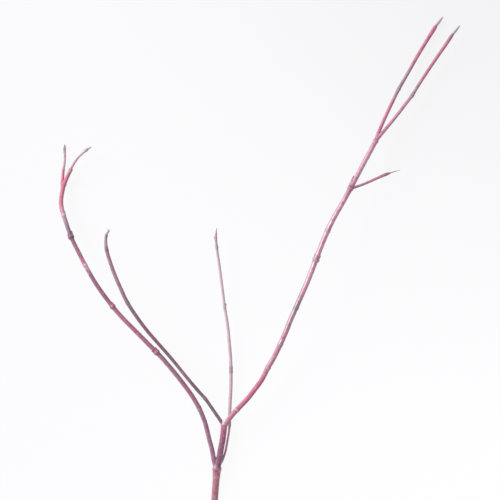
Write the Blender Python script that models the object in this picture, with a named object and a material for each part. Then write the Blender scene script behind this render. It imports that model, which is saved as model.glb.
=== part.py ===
"""A leafless branch with opposite shoots, cut from its shrub and lying on a flat surface.

The cut end of the stem points to -Y, the shoots reach to +Y and the surface is z = 0.
Every size below is in millimetres. Routes start from the middle of the cut end, with X to
the right, Y along the branch and Z up from the surface. The finished branch is then placed
with the middle of its box over the origin.
"""

import math
from dataclasses import dataclass, field

import bmesh
import bpy
from mathutils import Vector

MM = 0.001

# How the shoots are meshed
RING_SPACING = 5.5
SAMPLES_PER_SPAN = 12
HEADING_STEP = 0.5
JOINT_GAP = 0.3
WELD_DISTANCE = 0.001
STEM_BEVEL = 3  # bevel_resolution of the stem and the two limbs: ten sides
SHOOT_BEVEL = 2  # of the thinner shoots: eight sides
BUD_BEVEL = 1  # of the small side buds: six sides

# Leaf nodes: where along the shoot the bark swells, and by how much of the full swelling
NODE_RINGS = ((-2.4, 0.0), (-1.0, 0.6), (0.0, 1.0), (0.9, 0.7), (2.6, 0.0))

# Side buds lie close along the shoot, in opposite pairs
BUD_LENGTH = 4.2
BUD_WIDTH = 1.5
BUD_PROFILE = ((0.0, 0.75), (0.3, 1.0), (0.68, 0.72), (1.0, 0.12))
BUD_ROOT_DEPTH = 0.55
BUD_TIP_CLEARANCE = 0.45

# End buds leave along the shoot and then bend to their tip
BUD_ELBOW = 0.4
PRONG_RADII = (0.45, 0.45, 0.15)
PRONG_ROOT = 0.5  # share of the bud's length where a scale starts

# Length of each shoot that stays on the piece it grows from
LIMB_STUB = 15.0
UPRIGHT_STUB = 17.0
SECOND_FORK_STUB = 10.0
TIP_FORK_STUB = 10.5
LEFT_FORK_STUB = 7.0
SIDE_TWIG_STUB = 4.5

# Knuckles where the shoots part, as wide as the fork
FIRST_FORK_WIDTH = 7.8
SECOND_FORK_WIDTH = 6.4
LEFT_FORK_WIDTH = 4.0
TIP_FORK_WIDTH = 4.0
KNUCKLE_SEGMENTS = 12
KNUCKLE_RINGS = 8

# What is left of the shoot that died back in the second fork
DEAD_TIP_WIDTH = 2.4
DEAD_TIP_LENGTH = 3.6
DEAD_TIP_PROFILE = ((0.0, 1.0), (0.8, 1.0), (1.0, 0.6))


@dataclass(frozen=True)
class LeafNode:
    """A swelling where a pair of leaves stood.

    point is the route point it sits at, and swell how much wider the shoot is there.
    roll turns the pair of buds about the shoot: 0 is level, 90 is above and below.
    sides says which of the two buds are still there, and the rest what size they are.
    """

    point: int
    swell: float
    roll: float = 0.0
    sides: tuple = ()
    bud_length: float = BUD_LENGTH
    bud_width: float = BUD_WIDTH


@dataclass(frozen=True)
class Shoot:
    """A piece of growth between two forks, or from a fork to its end bud.

    route is its middle line, diameters are pairs of (share of its length, diameter),
    and bevel is the bevel_resolution of its tube.
    """

    route: tuple
    diameters: tuple
    nodes: tuple = ()
    bevel: int = SHOOT_BEVEL


@dataclass(frozen=True)
class EndBud:
    """The bud that ends a shoot, with two narrow scales that close to a point.

    reach is its tip, measured from the end of the shoot, and diameters are as a shoot's.
    prongs are the tips of scales that stand open, measured from the tip.
    """

    reach: tuple
    diameters: tuple
    prongs: tuple = ()


@dataclass
class Line:
    """A shoot's smooth middle line.

    reached is the distance along the line of each of its points, and knots the
    distance along it of each point of the route.
    """

    points: list = field(default_factory=list)
    reached: list = field(default_factory=list)
    knots: list = field(default_factory=list)

    def length(self):
        """The length of the whole line, in millimetres."""
        return self.reached[-1]

    def at(self, distance):
        """The point this far along, in millimetres."""
        last = len(self.reached) - 2
        low = max(0, min(last, sum(mark <= distance for mark in self.reached) - 1))
        span = self.reached[low + 1] - self.reached[low]
        share = (distance - self.reached[low]) / span
        return self.points[low].lerp(self.points[low + 1], share)

    def heading(self, distance):
        """The direction of growth this far along."""
        low = max(0.0, distance - HEADING_STEP)
        high = min(self.length(), distance + HEADING_STEP)
        return (self.at(high) - self.at(low)).normalized()


LOWER_STEM = Shoot(
    route=((-1.1, 0.0, 2.6), (-0.2, 12.0, 2.9), (0.7, 24.0, 3.6), (1.4, 33.0, 4.4)),
    diameters=((0.0, 5.2), (0.75, 5.2), (1.0, 5.8)),
    nodes=(LeafNode(2, 1.1),),
    bevel=STEM_BEVEL,
)

UPPER_STEM = Shoot(
    route=(
        (1.4, 33.0, 4.4), (3.4, 42.0, 5.4), (4.6, 49.0, 6.3),
        (5.8, 55.5, 7.1), (6.7, 62.5, 8.1), (7.2, 68.5, 8.9),
    ),
    diameters=((0.0, 5.4), (0.5, 4.8), (0.8, 4.9), (1.0, 5.4)),
    bevel=STEM_BEVEL,
)

LEFT_LIMB = Shoot(
    route=(
        (1.4, 33.0, 4.4), (-0.7, 38.5, 5.0), (-2.4, 48.0, 6.2), (-4.5, 56.0, 7.2),
        (-7.4, 68.0, 8.8), (-9.6, 74.5, 9.7), (-12.6, 81.5, 10.8), (-18.0, 91.0, 12.5),
        (-25.5, 101.5, 14.5), (-33.4, 111.6, 16.6), (-41.6, 121.3, 18.6), (-46.5, 126.5, 19.5),
        (-55.0, 135.0, 21.0), (-64.0, 144.2, 22.2), (-73.0, 153.3, 22.8), (-81.5, 163.0, 22.8),
        (-89.2, 173.0, 22.0), (-96.3, 183.5, 20.6), (-103.5, 196.0, 18.6), (-108.6, 205.8, 16.8),
        (-113.5, 215.5, 14.8), (-116.0, 221.5, 13.4), (-118.6, 229.0, 11.5), (-121.0, 236.0, 9.7),
        (-122.7, 242.3, 8.2), (-123.0, 248.5, 6.9), (-122.0, 254.8, 5.8), (-120.7, 260.5, 5.0),
    ),
    diameters=(
        (0.0, 3.6), (0.06, 3.2), (0.4, 3.2), (0.5, 2.95), (0.85, 2.8), (0.93, 3.5), (1.0, 3.7),
    ),
    nodes=(
        LeafNode(6, 1.1),
        LeafNode(11, 1.45, 0.0, (1, -1), 3.6),
        LeafNode(15, 1.4, 70.0, (1, -1), 3.4),
        LeafNode(18, 1.2),
        LeafNode(21, 1.5, 0.0, (1, -1), 4.6),
        LeafNode(23, 1.15),
    ),
    bevel=STEM_BEVEL,
)

LEFT_TWIG = Shoot(
    route=(
        (-120.7, 260.5, 5.0), (-121.8, 266.0, 3.9), (-121.5, 272.0, 3.0),
        (-120.5, 277.5, 2.2), (-120.3, 283.0, 1.5), (-120.5, 287.5, 1.1),
    ),
    diameters=((0.0, 2.2), (0.3, 1.9), (0.9, 1.7), (1.0, 2.0)),
    nodes=(LeafNode(2, 1.3, 0.0, (1, -1), 2.4, 1.1),),
)

LEFT_SPUR = Shoot(
    route=(
        (-120.7, 260.5, 5.0), (-118.0, 265.0, 5.7), (-115.8, 271.0, 6.5), (-113.4, 276.0, 7.4),
        (-110.2, 280.8, 8.4), (-107.5, 283.8, 9.1), (-104.0, 287.0, 9.9),
    ),
    diameters=((0.0, 2.6), (0.3, 2.2), (0.5, 1.8), (0.9, 1.8), (1.0, 2.2)),
    nodes=(
        LeafNode(2, 1.3, 0.0, (1, -1), 2.4, 1.1),
        LeafNode(5, 1.3, 90.0, (1, -1), 2.4, 1.1),
    ),
)

INNER_LEFT_SHOOT = Shoot(
    route=(
        (7.2, 68.5, 8.9), (5.0, 70.8, 9.3), (1.4, 76.0, 10.4), (-4.4, 84.5, 12.2),
        (-8.0, 89.5, 13.3), (-14.0, 96.3, 15.0), (-22.2, 106.0, 17.4), (-30.2, 116.0, 19.8),
        (-38.0, 125.4, 22.0), (-46.6, 135.2, 24.2), (-54.6, 144.6, 26.2), (-62.2, 154.8, 28.0),
        (-69.6, 166.2, 29.6), (-74.5, 176.5, 30.6), (-79.5, 188.0, 31.2), (-83.7, 199.8, 31.4),
        (-86.1, 208.6, 31.2), (-86.8, 215.3, 30.8), (-86.2, 220.3, 30.4),
    ),
    diameters=((0.0, 3.0), (0.08, 2.6), (0.7, 2.4), (0.9, 2.5), (0.97, 1.9), (1.0, 2.3)),
    nodes=(
        LeafNode(4, 1.3, 80.0, (1, -1), 3.0),
        LeafNode(12, 1.35, 80.0, (1, -1), 3.2),
        LeafNode(16, 1.3, 0.0, (1, -1), 3.2),
    ),
)

UPRIGHT_SHOOT = Shoot(
    route=(
        (1.4, 33.0, 4.4), (5.0, 39.5, 3.3), (7.5, 46.8, 2.8), (9.1, 54.5, 2.6),
        (10.3, 61.5, 2.5), (11.3, 68.5, 2.5), (11.6, 77.0, 2.7), (12.0, 87.0, 3.2),
        (12.5, 97.5, 3.7), (12.6, 110.3, 4.4), (12.2, 122.5, 5.2), (11.2, 134.5, 6.0),
        (10.3, 144.5, 6.7), (9.0, 154.0, 7.4), (7.5, 162.5, 8.0), (6.4, 172.0, 8.7),
        (5.1, 182.0, 9.4), (3.6, 193.5, 10.2), (2.2, 203.2, 10.9), (1.3, 210.2, 11.4),
        (0.6, 216.8, 11.9), (0.7, 220.8, 12.1),
    ),
    diameters=((0.0, 2.8), (0.1, 2.2), (0.5, 2.3), (0.7, 2.0), (0.9, 2.1), (0.97, 1.7), (1.0, 1.9)),
    nodes=(
        LeafNode(5, 1.2),
        LeafNode(9, 1.4, 90.0, (1, -1), 3.4),
        LeafNode(14, 1.4, 10.0, (1, -1), 3.2),
        LeafNode(19, 1.4, 80.0, (1, -1), 3.0),
        LeafNode(20, 1.15, 0.0, (-1,), 1.8, 1.1),
    ),
)

RIGHT_LIMB = Shoot(
    route=(
        (7.2, 68.5, 8.9), (10.2, 71.8, 9.5), (13.4, 76.0, 10.1), (17.6, 80.6, 10.8),
        (25.2, 88.6, 12.2), (29.9, 94.5, 13.2), (37.2, 104.5, 14.9), (42.2, 114.3, 16.7),
        (46.7, 122.0, 18.1), (52.2, 133.3, 20.0), (57.0, 144.3, 21.8), (59.3, 150.3, 22.7),
        (64.6, 162.5, 24.3), (69.7, 174.0, 25.5), (74.2, 184.5, 26.2), (80.3, 200.2, 26.6),
        (84.0, 210.0, 26.2), (89.6, 223.3, 25.1), (95.4, 235.0, 23.7), (101.8, 246.0, 21.9),
        (107.8, 257.0, 19.9), (113.7, 268.0, 17.9), (118.8, 277.7, 16.1), (124.6, 288.4, 14.2),
        (128.0, 294.8, 13.0),
    ),
    diameters=((0.0, 4.6), (0.08, 3.8), (0.45, 3.7), (0.6, 3.4), (0.95, 3.3), (1.0, 3.5)),
    nodes=(
        LeafNode(3, 1.1),
        LeafNode(7, 1.2),
        LeafNode(9, 1.12),
        LeafNode(12, 1.1),
        LeafNode(15, 1.4, 10.0, (1, -1), 4.4),
        LeafNode(17, 1.15, 80.0),
        LeafNode(20, 1.35, 10.0, (-1,), 10.6, 2.1),
    ),
    bevel=STEM_BEVEL,
)

SIDE_TWIG = Shoot(
    route=(
        (107.8, 257.0, 19.9), (112.0, 258.2, 19.6), (116.7, 259.8, 19.0), (122.6, 262.3, 18.0),
        (128.2, 264.8, 17.0), (134.0, 267.4, 15.9), (138.8, 269.2, 15.1),
    ),
    diameters=((0.0, 2.2), (0.3, 1.8), (0.7, 1.9), (0.92, 2.6), (1.0, 2.0)),
)

TIP_SHOOT_LEFT = Shoot(
    route=(
        (128.0, 294.8, 13.0), (131.1, 303.4, 11.6), (136.7, 316.0, 9.8), (142.5, 328.2, 8.1),
        (146.5, 336.3, 7.0), (151.8, 345.5, 5.8), (158.0, 356.5, 4.5), (164.4, 367.5, 3.3),
        (170.9, 378.2, 2.3), (176.5, 387.1, 1.6),
    ),
    diameters=((0.0, 2.8), (0.15, 2.4), (0.7, 2.45), (0.9, 2.9), (0.97, 3.1), (1.0, 2.4)),
    nodes=(LeafNode(4, 1.2, 90.0, (1, -1), 3.4),),
)

TIP_SHOOT_RIGHT = Shoot(
    route=(
        (128.0, 294.8, 13.0), (133.8, 301.8, 12.6), (140.2, 309.4, 12.0), (146.5, 317.3, 11.4),
        (151.0, 323.2, 11.0), (157.2, 331.3, 10.4), (161.7, 338.6, 10.0), (168.9, 349.7, 9.4),
        (176.2, 360.5, 9.0), (183.6, 371.2, 8.8), (189.6, 380.0, 8.8),
    ),
    diameters=((0.0, 2.6), (0.15, 2.3), (0.7, 2.3), (0.9, 2.6), (0.97, 2.8), (1.0, 2.1)),
    nodes=(LeafNode(5, 1.3, 90.0, (1, -1), 3.4),),
)

TIP_LEFT_BUD = EndBud(
    reach=(5.9, 7.5, 0.7),
    diameters=((0.0, 2.3), (0.2, 2.0), (0.5, 1.7), (0.75, 0.9), (1.0, 0.3)),
)
TIP_RIGHT_BUD = EndBud(
    reach=(6.2, 7.4, 0.3),
    diameters=((0.0, 1.7), (0.25, 2.0), (0.5, 1.9), (0.75, 1.1), (1.0, 0.3)),
)
SIDE_TWIG_BUD = EndBud(
    reach=(8.8, 2.5, -0.9),
    diameters=((0.0, 1.7), (0.15, 1.1), (0.5, 0.8), (1.0, 0.3)),
)
UPRIGHT_BUD = EndBud(
    reach=(0.7, 4.9, 0.4),
    diameters=((0.0, 1.7), (0.3, 1.4), (0.6, 0.9), (1.0, 0.3)),
)
INNER_LEFT_BUD = EndBud(
    reach=(1.6, 2.4, -0.1),
    diameters=((0.0, 1.8), (0.3, 1.7), (0.65, 1.5), (1.0, 1.2)),
    prongs=((-0.7, 1.9, 0.5), (1.2, 1.5, 0.3), (0.4, 0.9, -0.8)),
)
LEFT_TWIG_BUD = EndBud(
    reach=(0.1, 5.0, 0.3),
    diameters=((0.0, 2.0), (0.2, 2.1), (0.45, 1.9), (0.75, 1.0), (1.0, 0.3)),
)
LEFT_SPUR_BUD = EndBud(
    reach=(5.4, 3.2, 1.4),
    diameters=((0.0, 2.0), (0.25, 2.6), (0.38, 2.3), (0.5, 0.9), (1.0, 0.3)),
)


def linear(hex_colour):
    """An sRGB hex colour as linear red, green, blue and alpha."""
    values = []
    for start in (0, 2, 4):
        value = int(hex_colour[start:start + 2], 16) / 255
        value = value / 12.92 if value <= 0.04045 else ((value + 0.055) / 1.055) ** 2.4
        values.append(value)
    return (*values, 1.0)


def make_material(name, hex_colour, roughness):
    """A plain surface of one colour."""
    material = bpy.data.materials.new(name)
    material.use_nodes = True
    shader = material.node_tree.nodes["Principled BSDF"]
    shader.inputs["Base Color"].default_value = linear(hex_colour)
    shader.inputs["Roughness"].default_value = roughness
    shader.inputs["Metallic"].default_value = 0.0
    return material


def smooth_line(route):
    """The route as a smooth curve through its points, with even spacing inside each span."""
    knots = [Vector(point) for point in route]
    knots = [2 * knots[0] - knots[1], *knots, 2 * knots[-1] - knots[-2]]
    line = Line([knots[1]], [0.0], [0.0])
    for a, b, c, d in zip(knots, knots[1:], knots[2:], knots[3:]):
        for step in range(1, SAMPLES_PER_SPAN + 1):
            t = step / SAMPLES_PER_SPAN
            # Catmull-Rom weights
            point = 0.5 * (
                2 * b + (c - a) * t + (2 * a - 5 * b + 4 * c - d) * t**2
                + (3 * b - a - 3 * c + d) * t**3
            )
            line.reached.append(line.reached[-1] + (point - line.points[-1]).length)
            line.points.append(point)
        line.knots.append(line.reached[-1])
    return line


def read_table(table, share):
    """The value at this share of the length, in a table of (share, value) pairs."""
    for (low, first), (high, second) in zip(table, table[1:]):
        if share <= high:
            return first + (second - first) * (share - low) / (high - low)
    return table[-1][1]


def ring_places(shoot, line, start, end):
    """Where the rings of the tube go: evenly along the shoot, and closer at its leaf nodes."""
    marks = {start, end} | {share * line.length() for share, _ in shoot.diameters}
    for node in shoot.nodes:
        marks |= {line.knots[node.point] + offset for offset, _ in NODE_RINGS}
    marks = sorted(mark for mark in marks if start <= mark <= end)
    places = []
    for low, high in zip(marks, marks[1:]):
        count = max(1, round((high - low) / RING_SPACING))
        places += [low + (high - low) * step / count for step in range(count)]
    return [*places, end]


def radius_at(shoot, line, distance):
    """The shoot's radius this far along, with the swelling of its leaf nodes."""
    radius = read_table(shoot.diameters, distance / line.length()) / 2
    for node in shoot.nodes:
        offset = distance - line.knots[node.point]
        if NODE_RINGS[0][0] < offset < NODE_RINGS[-1][0]:
            radius *= 1 + (node.swell - 1) * read_table(NODE_RINGS, offset)
    return radius


def tube_mesh(name, points, radii, bevel):
    """A closed tube through the points, as a mesh in metres."""
    curve = bpy.data.curves.new(name, "CURVE")
    curve.dimensions = "3D"
    curve.bevel_depth = MM
    curve.bevel_resolution = bevel
    curve.use_fill_caps = True
    spline = curve.splines.new("POLY")
    spline.points.add(len(points) - 1)
    for spot, point, radius in zip(spline.points, points, radii):
        spot.co = (*(point * MM), 1.0)
        spot.radius = radius
    guide = bpy.data.objects.new(name, curve)
    bpy.context.scene.collection.objects.link(guide)
    graph = bpy.context.evaluated_depsgraph_get()
    mesh = bpy.data.meshes.new_from_object(guide.evaluated_get(graph))
    bpy.data.objects.remove(guide)
    bpy.data.curves.remove(curve)
    weld(mesh)
    return mesh


def weld(mesh):
    """Joins the caps to the tube and turns every face outwards."""
    work = bmesh.new()
    work.from_mesh(mesh)
    bmesh.ops.remove_doubles(work, verts=work.verts, dist=WELD_DISTANCE * MM)
    bmesh.ops.recalc_face_normals(work, faces=work.faces)
    work.to_mesh(mesh)
    work.free()


def shoot_mesh(name, shoot, start, end):
    """The stretch of a shoot between two distances along it."""
    line = smooth_line(shoot.route)
    places = ring_places(shoot, line, start, end)
    points = [line.at(place) for place in places]
    radii = [radius_at(shoot, line, place) for place in places]
    return tube_mesh(name, points, radii, shoot.bevel)


def across(heading, roll):
    """A direction square to the shoot: level at a roll of 0, upwards at 90."""
    level = heading.cross(Vector((0, 0, 1))).normalized()
    upward = level.cross(heading)
    return level * math.cos(math.radians(roll)) + upward * math.sin(math.radians(roll))


def side_bud_meshes(name, shoot, start, end):
    """The side buds that stand between two distances along the shoot."""
    line = smooth_line(shoot.route)
    meshes = []
    for node in shoot.nodes:
        place = line.knots[node.point]
        if not start < place < end:
            continue
        heading = line.heading(place)
        radius = radius_at(shoot, line, place)
        for side in node.sides:
            out = across(heading, node.roll) * side
            root = line.at(place) + out * radius * BUD_ROOT_DEPTH
            tip = line.at(place) + out * (radius + BUD_TIP_CLEARANCE) + heading * node.bud_length
            points = [root.lerp(tip, share) for share, _ in BUD_PROFILE]
            radii = [node.bud_width / 2 * width for _, width in BUD_PROFILE]
            meshes.append(tube_mesh(f"{name}_side_bud", points, radii, BUD_BEVEL))
    return meshes


def knuckle_mesh(name, centre, width):
    """The rounded swelling where shoots part."""
    work = bmesh.new()
    bmesh.ops.create_uvsphere(
        work, u_segments=KNUCKLE_SEGMENTS, v_segments=KNUCKLE_RINGS, radius=width / 2 * MM,
    )
    bmesh.ops.translate(work, verts=work.verts, vec=centre * MM)
    mesh = bpy.data.meshes.new(name)
    work.to_mesh(mesh)
    work.free()
    return mesh


def fuse(name, body, growths, material, parent):
    """One named piece: the body mesh with its growths joined to it."""
    piece = bpy.data.objects.new(name, body)
    bpy.context.scene.collection.objects.link(piece)
    piece.parent = parent
    body.materials.append(material)
    body.shade_smooth()
    if not growths:
        return piece
    guides = bpy.data.collections.new(f"{name}_growths")
    bpy.context.scene.collection.children.link(guides)
    guides.hide_render = True
    for index, mesh in enumerate(growths):
        mesh.shade_smooth()
        guide = bpy.data.objects.new(f"{name}_growth_{index}", mesh)
        guides.objects.link(guide)
        guide.parent = parent
        guide.hide_render = True
        guide.display_type = "WIRE"
    join = piece.modifiers.new("join_growths", "BOOLEAN")
    join.operation = "UNION"
    join.solver = "EXACT"
    join.operand_type = "COLLECTION"
    join.collection = guides
    return piece


def add_shoot(name, shoot, material, parent, start=0.0, stubs=(), knuckle=0.0, extras=()):
    """A shoot from start to its end, with the stubs of the shoots that grow from it."""
    line = smooth_line(shoot.route)
    end = line.length()
    growths = [*side_bud_meshes(name, shoot, start, end), *extras]
    for branch, length in stubs:
        growths.append(shoot_mesh(f"{name}_stub", branch, 0.0, length))
    if knuckle:
        growths.append(knuckle_mesh(f"{name}_knuckle", line.at(end), knuckle))
    body = shoot_mesh(name, shoot, start, end)
    return fuse(name, body, growths, material, parent)


def add_end_bud(name, shoot, bud, material, parent):
    """The bud on the end of a shoot, a joint gap beyond it."""
    line = smooth_line(shoot.route)
    shoot_end = line.at(line.length())
    heading = line.heading(line.length())
    tip = shoot_end + Vector(bud.reach)
    root = shoot_end + heading * JOINT_GAP
    elbow = root + heading * (tip - root).length * BUD_ELBOW
    points = [root.lerp(elbow, share).lerp(elbow.lerp(tip, share), share) for share, _ in bud.diameters]
    radii = [diameter / 2 for _, diameter in bud.diameters]
    mesh = tube_mesh(name, points, radii, SHOOT_BEVEL)
    scales = []
    for prong in bud.prongs:
        points = [root.lerp(tip, PRONG_ROOT), tip, tip + Vector(prong)]
        scales.append(tube_mesh(f"{name}_scale", points, PRONG_RADII, BUD_BEVEL))
    return fuse(name, mesh, scales, material, parent)


def dead_tip_mesh():
    """The dry stump of the leading shoot, standing in the second fork."""
    line = smooth_line(UPPER_STEM.route)
    root = line.at(line.length())
    tip = root + line.heading(line.length()) * DEAD_TIP_LENGTH
    points = [root.lerp(tip, share) for share, _ in DEAD_TIP_PROFILE]
    radii = [DEAD_TIP_WIDTH / 2 * width for _, width in DEAD_TIP_PROFILE]
    return tube_mesh("dead_tip", points, radii, BUD_BEVEL)


def centre_on_origin(pieces, parent):
    """Moves the whole branch so that its box stands on the surface, centred over the origin."""
    bpy.context.view_layer.update()
    graph = bpy.context.evaluated_depsgraph_get()
    corners = []
    for piece in pieces:
        evaluated = piece.evaluated_get(graph)
        corners += [evaluated.matrix_world @ vert.co for vert in evaluated.data.vertices]
    low = [min(corner[axis] for corner in corners) for axis in range(3)]
    high = [max(corner[axis] for corner in corners) for axis in range(3)]
    parent.location = (-(low[0] + high[0]) / 2, -(low[1] + high[1]) / 2, -low[2])


def build_stem(bark, parent):
    """The stem below the first fork, and its upper part with the second fork."""
    first_fork = ((UPPER_STEM, LIMB_STUB), (LEFT_LIMB, LIMB_STUB), (UPRIGHT_SHOOT, UPRIGHT_STUB))
    lower = add_shoot("lower_stem", LOWER_STEM, bark, parent, stubs=first_fork, knuckle=FIRST_FORK_WIDTH)

    second_fork = ((INNER_LEFT_SHOOT, SECOND_FORK_STUB), (RIGHT_LIMB, SECOND_FORK_STUB))
    upper = add_shoot(
        "upper_stem", UPPER_STEM, bark, parent, start=LIMB_STUB + JOINT_GAP,
        stubs=second_fork, knuckle=SECOND_FORK_WIDTH, extras=[dead_tip_mesh()],
    )
    return [lower, upper]


def build_limbs(bark, parent):
    """The two long limbs, each with the fork at its end."""
    left_fork = ((LEFT_TWIG, LEFT_FORK_STUB), (LEFT_SPUR, LEFT_FORK_STUB))
    left = add_shoot(
        "left_limb", LEFT_LIMB, bark, parent,
        start=LIMB_STUB + JOINT_GAP, stubs=left_fork, knuckle=LEFT_FORK_WIDTH,
    )
    tip_fork = (
        (TIP_SHOOT_LEFT, TIP_FORK_STUB), (TIP_SHOOT_RIGHT, TIP_FORK_STUB), (SIDE_TWIG, SIDE_TWIG_STUB),
    )
    right = add_shoot(
        "right_limb", RIGHT_LIMB, bark, parent,
        start=SECOND_FORK_STUB + JOINT_GAP, stubs=tip_fork, knuckle=TIP_FORK_WIDTH,
    )
    return [left, right]


def build_shoots(bark, young_bark, parent):
    """The thinner shoots and twigs, each starting a joint gap beyond its stub."""
    shoots = (
        ("inner_left_shoot", INNER_LEFT_SHOOT, SECOND_FORK_STUB, bark),
        ("upright_shoot", UPRIGHT_SHOOT, UPRIGHT_STUB, young_bark),
        ("left_twig", LEFT_TWIG, LEFT_FORK_STUB, bark),
        ("left_spur", LEFT_SPUR, LEFT_FORK_STUB, bark),
        ("side_twig", SIDE_TWIG, SIDE_TWIG_STUB, bark),
        ("tip_shoot_left", TIP_SHOOT_LEFT, TIP_FORK_STUB, bark),
        ("tip_shoot_right", TIP_SHOOT_RIGHT, TIP_FORK_STUB, bark),
    )
    return [
        add_shoot(name, shoot, material, parent, start=stub + JOINT_GAP)
        for name, shoot, stub, material in shoots
    ]


def build_end_buds(bud_scale, parent):
    """The closed bud on the end of every shoot."""
    buds = (
        ("bud_inner_left_shoot", INNER_LEFT_SHOOT, INNER_LEFT_BUD),
        ("bud_upright_shoot", UPRIGHT_SHOOT, UPRIGHT_BUD),
        ("bud_left_twig", LEFT_TWIG, LEFT_TWIG_BUD),
        ("bud_left_spur", LEFT_SPUR, LEFT_SPUR_BUD),
        ("bud_side_twig", SIDE_TWIG, SIDE_TWIG_BUD),
        ("bud_tip_shoot_left", TIP_SHOOT_LEFT, TIP_LEFT_BUD),
        ("bud_tip_shoot_right", TIP_SHOOT_RIGHT, TIP_RIGHT_BUD),
    )
    return [add_end_bud(name, shoot, size, bud_scale, parent) for name, shoot, size in buds]


def main():
    """Clears the scene and builds the branch."""
    for obj in list(bpy.data.objects):
        bpy.data.objects.remove(obj)

    bark = make_material("bark", "B06A86", 0.45)
    young_bark = make_material("young_bark", "CDA6B2", 0.5)
    bud_scale = make_material("bud_scale", "968A90", 0.7)

    branch = bpy.data.objects.new("branch", None)
    bpy.context.scene.collection.objects.link(branch)

    pieces = build_stem(bark, branch)
    pieces += build_limbs(bark, branch)
    pieces += build_shoots(bark, young_bark, branch)
    pieces += build_end_buds(bud_scale, branch)
    centre_on_origin(pieces, branch)


if __name__ == "__main__":
    main()
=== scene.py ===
"""The looks of a leafless forked shrub branch that lies on a white surface.

Shapes are worked out in millimetres in the branch's own frame, which starts at the middle of
the stem's cut end, with X to the right, Y along the branch and Z up from the surface. Each
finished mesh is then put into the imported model's frame, in metres. Turns about a shoot are
in degrees: 0 is its right side seen from above, 90 its top and 180 its left side.
"""

import logging
import math
import random
from collections.abc import Mapping, Sequence
from dataclasses import dataclass, field
from enum import Enum
from typing import Any, Protocol

import bpy
import numpy as np
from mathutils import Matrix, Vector


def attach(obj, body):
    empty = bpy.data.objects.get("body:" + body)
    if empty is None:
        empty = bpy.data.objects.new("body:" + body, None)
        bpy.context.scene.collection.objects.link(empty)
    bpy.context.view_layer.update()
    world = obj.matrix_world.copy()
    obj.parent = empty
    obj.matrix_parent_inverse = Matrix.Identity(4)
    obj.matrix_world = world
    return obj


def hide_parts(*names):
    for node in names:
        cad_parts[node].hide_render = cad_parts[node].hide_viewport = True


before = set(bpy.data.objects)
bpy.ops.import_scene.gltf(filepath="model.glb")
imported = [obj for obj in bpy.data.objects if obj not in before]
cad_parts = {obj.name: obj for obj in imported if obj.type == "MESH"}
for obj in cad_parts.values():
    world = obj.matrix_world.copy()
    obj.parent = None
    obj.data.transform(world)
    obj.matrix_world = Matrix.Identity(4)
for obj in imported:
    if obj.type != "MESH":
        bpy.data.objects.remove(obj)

LOG = logging.getLogger("branch")

Point = tuple[float, float, float]
Span = tuple[float, float]
Table = tuple[Span, ...]
Faces = list[tuple[int, ...]]

MM = 0.001
BODY = "root"

# Fineness of the middle lines and meshes, in millimetres
SAMPLES_PER_SPAN = 12
HEADING_STEP = 0.5
RING_STEP = 0.3
TUBE_SIDES = 36
SKIN_GRAIN = 0.27
FINE_GRAIN = 0.12
SHARP_ANGLE = math.radians(60)
ROWS_AT_ONCE = 8192

# How far a tube's rounded end draws in, as a share, so that its last corners stay apart
END_CLOSING = 0.98

# Shifts that keep the random draws and the patterns of neighbours apart
BUD_SEED_SHIFT = 50
GRAIN_SHIFT_MM = 37.0
LAYER_SHIFT = 17.0

# How one piece carries on from the next without a seam
JOINT_OVERLAP = 0.9
JOINT_PROUD = 0.02
JOINT_SINK = 0.1
BUD_OVERLAP = 0.5

# The open tips of a bud's scales
PRONG_DIAMETERS = ((0.0, 0.9), (0.5, 0.9), (1.0, 0.3))
PRONG_BLEND = 0.2

# Lengths of the shoots that stay on the piece they grow from
LIMB_STUB = 15.0
UPRIGHT_STUB = 17.0
SECOND_FORK_STUB = 10.0
TIP_FORK_STUB = 10.5
LEFT_FORK_STUB = 7.0
LEFT_TWIG_STUB = 12.5
SIDE_TWIG_STUB = 4.5


class Tint(Enum):
    """Colours that the bark and the buds take along the branch, and of the painted highlights and shade
    laid on some shoots, as sRGB hex values.
    """

    HEATHER = "AE7480"
    PLUM = "926078"
    CRIMSON = "A5597D"
    MAUVE = "A0778B"
    ROSE = "AE6E86"
    WINE = "8F6075"
    DUSK = "806A77"
    SLATE = "6F636C"
    BLUSH = "C9AFB9"
    PEARL = "F3E4EC"
    CORAL = "BE6B7E"
    CERISE = "BF6B85"
    SALMON = "BC7D8D"
    PETAL = "CD97AD"
    PINK = "C0859B"
    LILAC = "B994A3"
    FAWN = "A3828F"
    TIP = "BE738B"
    RUBY = "B96683"
    ASH = "817A81"
    SCAR = "D7B4BE"
    LENTICEL = "E0BFC6"
    SHADE = "645064"
    BUD = "A79A9F"
    BUD_PALE = "BDAFB5"
    BUD_DARK = "978B91"


class End(Enum):
    """How a form stops."""

    FLAT = "flat"
    ROUND = "round"


@dataclass(frozen=True)
class LeafNode:
    """The swelling where a pair of leaves stood.

    Attributes:
        point: Where along the route it is, as an index of its points with a fraction.
        swell: How many times wider the shoot is there.
        roll: Turn of the pair of buds, 0 for level and 90 for above and below.
        sides: Which of the two buds are still there, 1 and -1.
        bud_length: Length of a bud in millimetres.
        bud_width: Width of a bud in millimetres.
        ring: Colour of the narrow scar that runs round the shoot.
        ring_strength: How much of the ring's colour shows.
        shade: Colour of the bark beside the scar.
        shade_strength: How much of that colour shows.
    """

    point: float
    swell: float
    roll: float = 0.0
    sides: tuple[int, ...] = ()
    bud_length: float = 4.2
    bud_width: float = 1.5
    ring: Tint = Tint.SCAR
    ring_strength: float = 0.5
    shade: Tint = Tint.ASH
    shade_strength: float = 0.35


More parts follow.
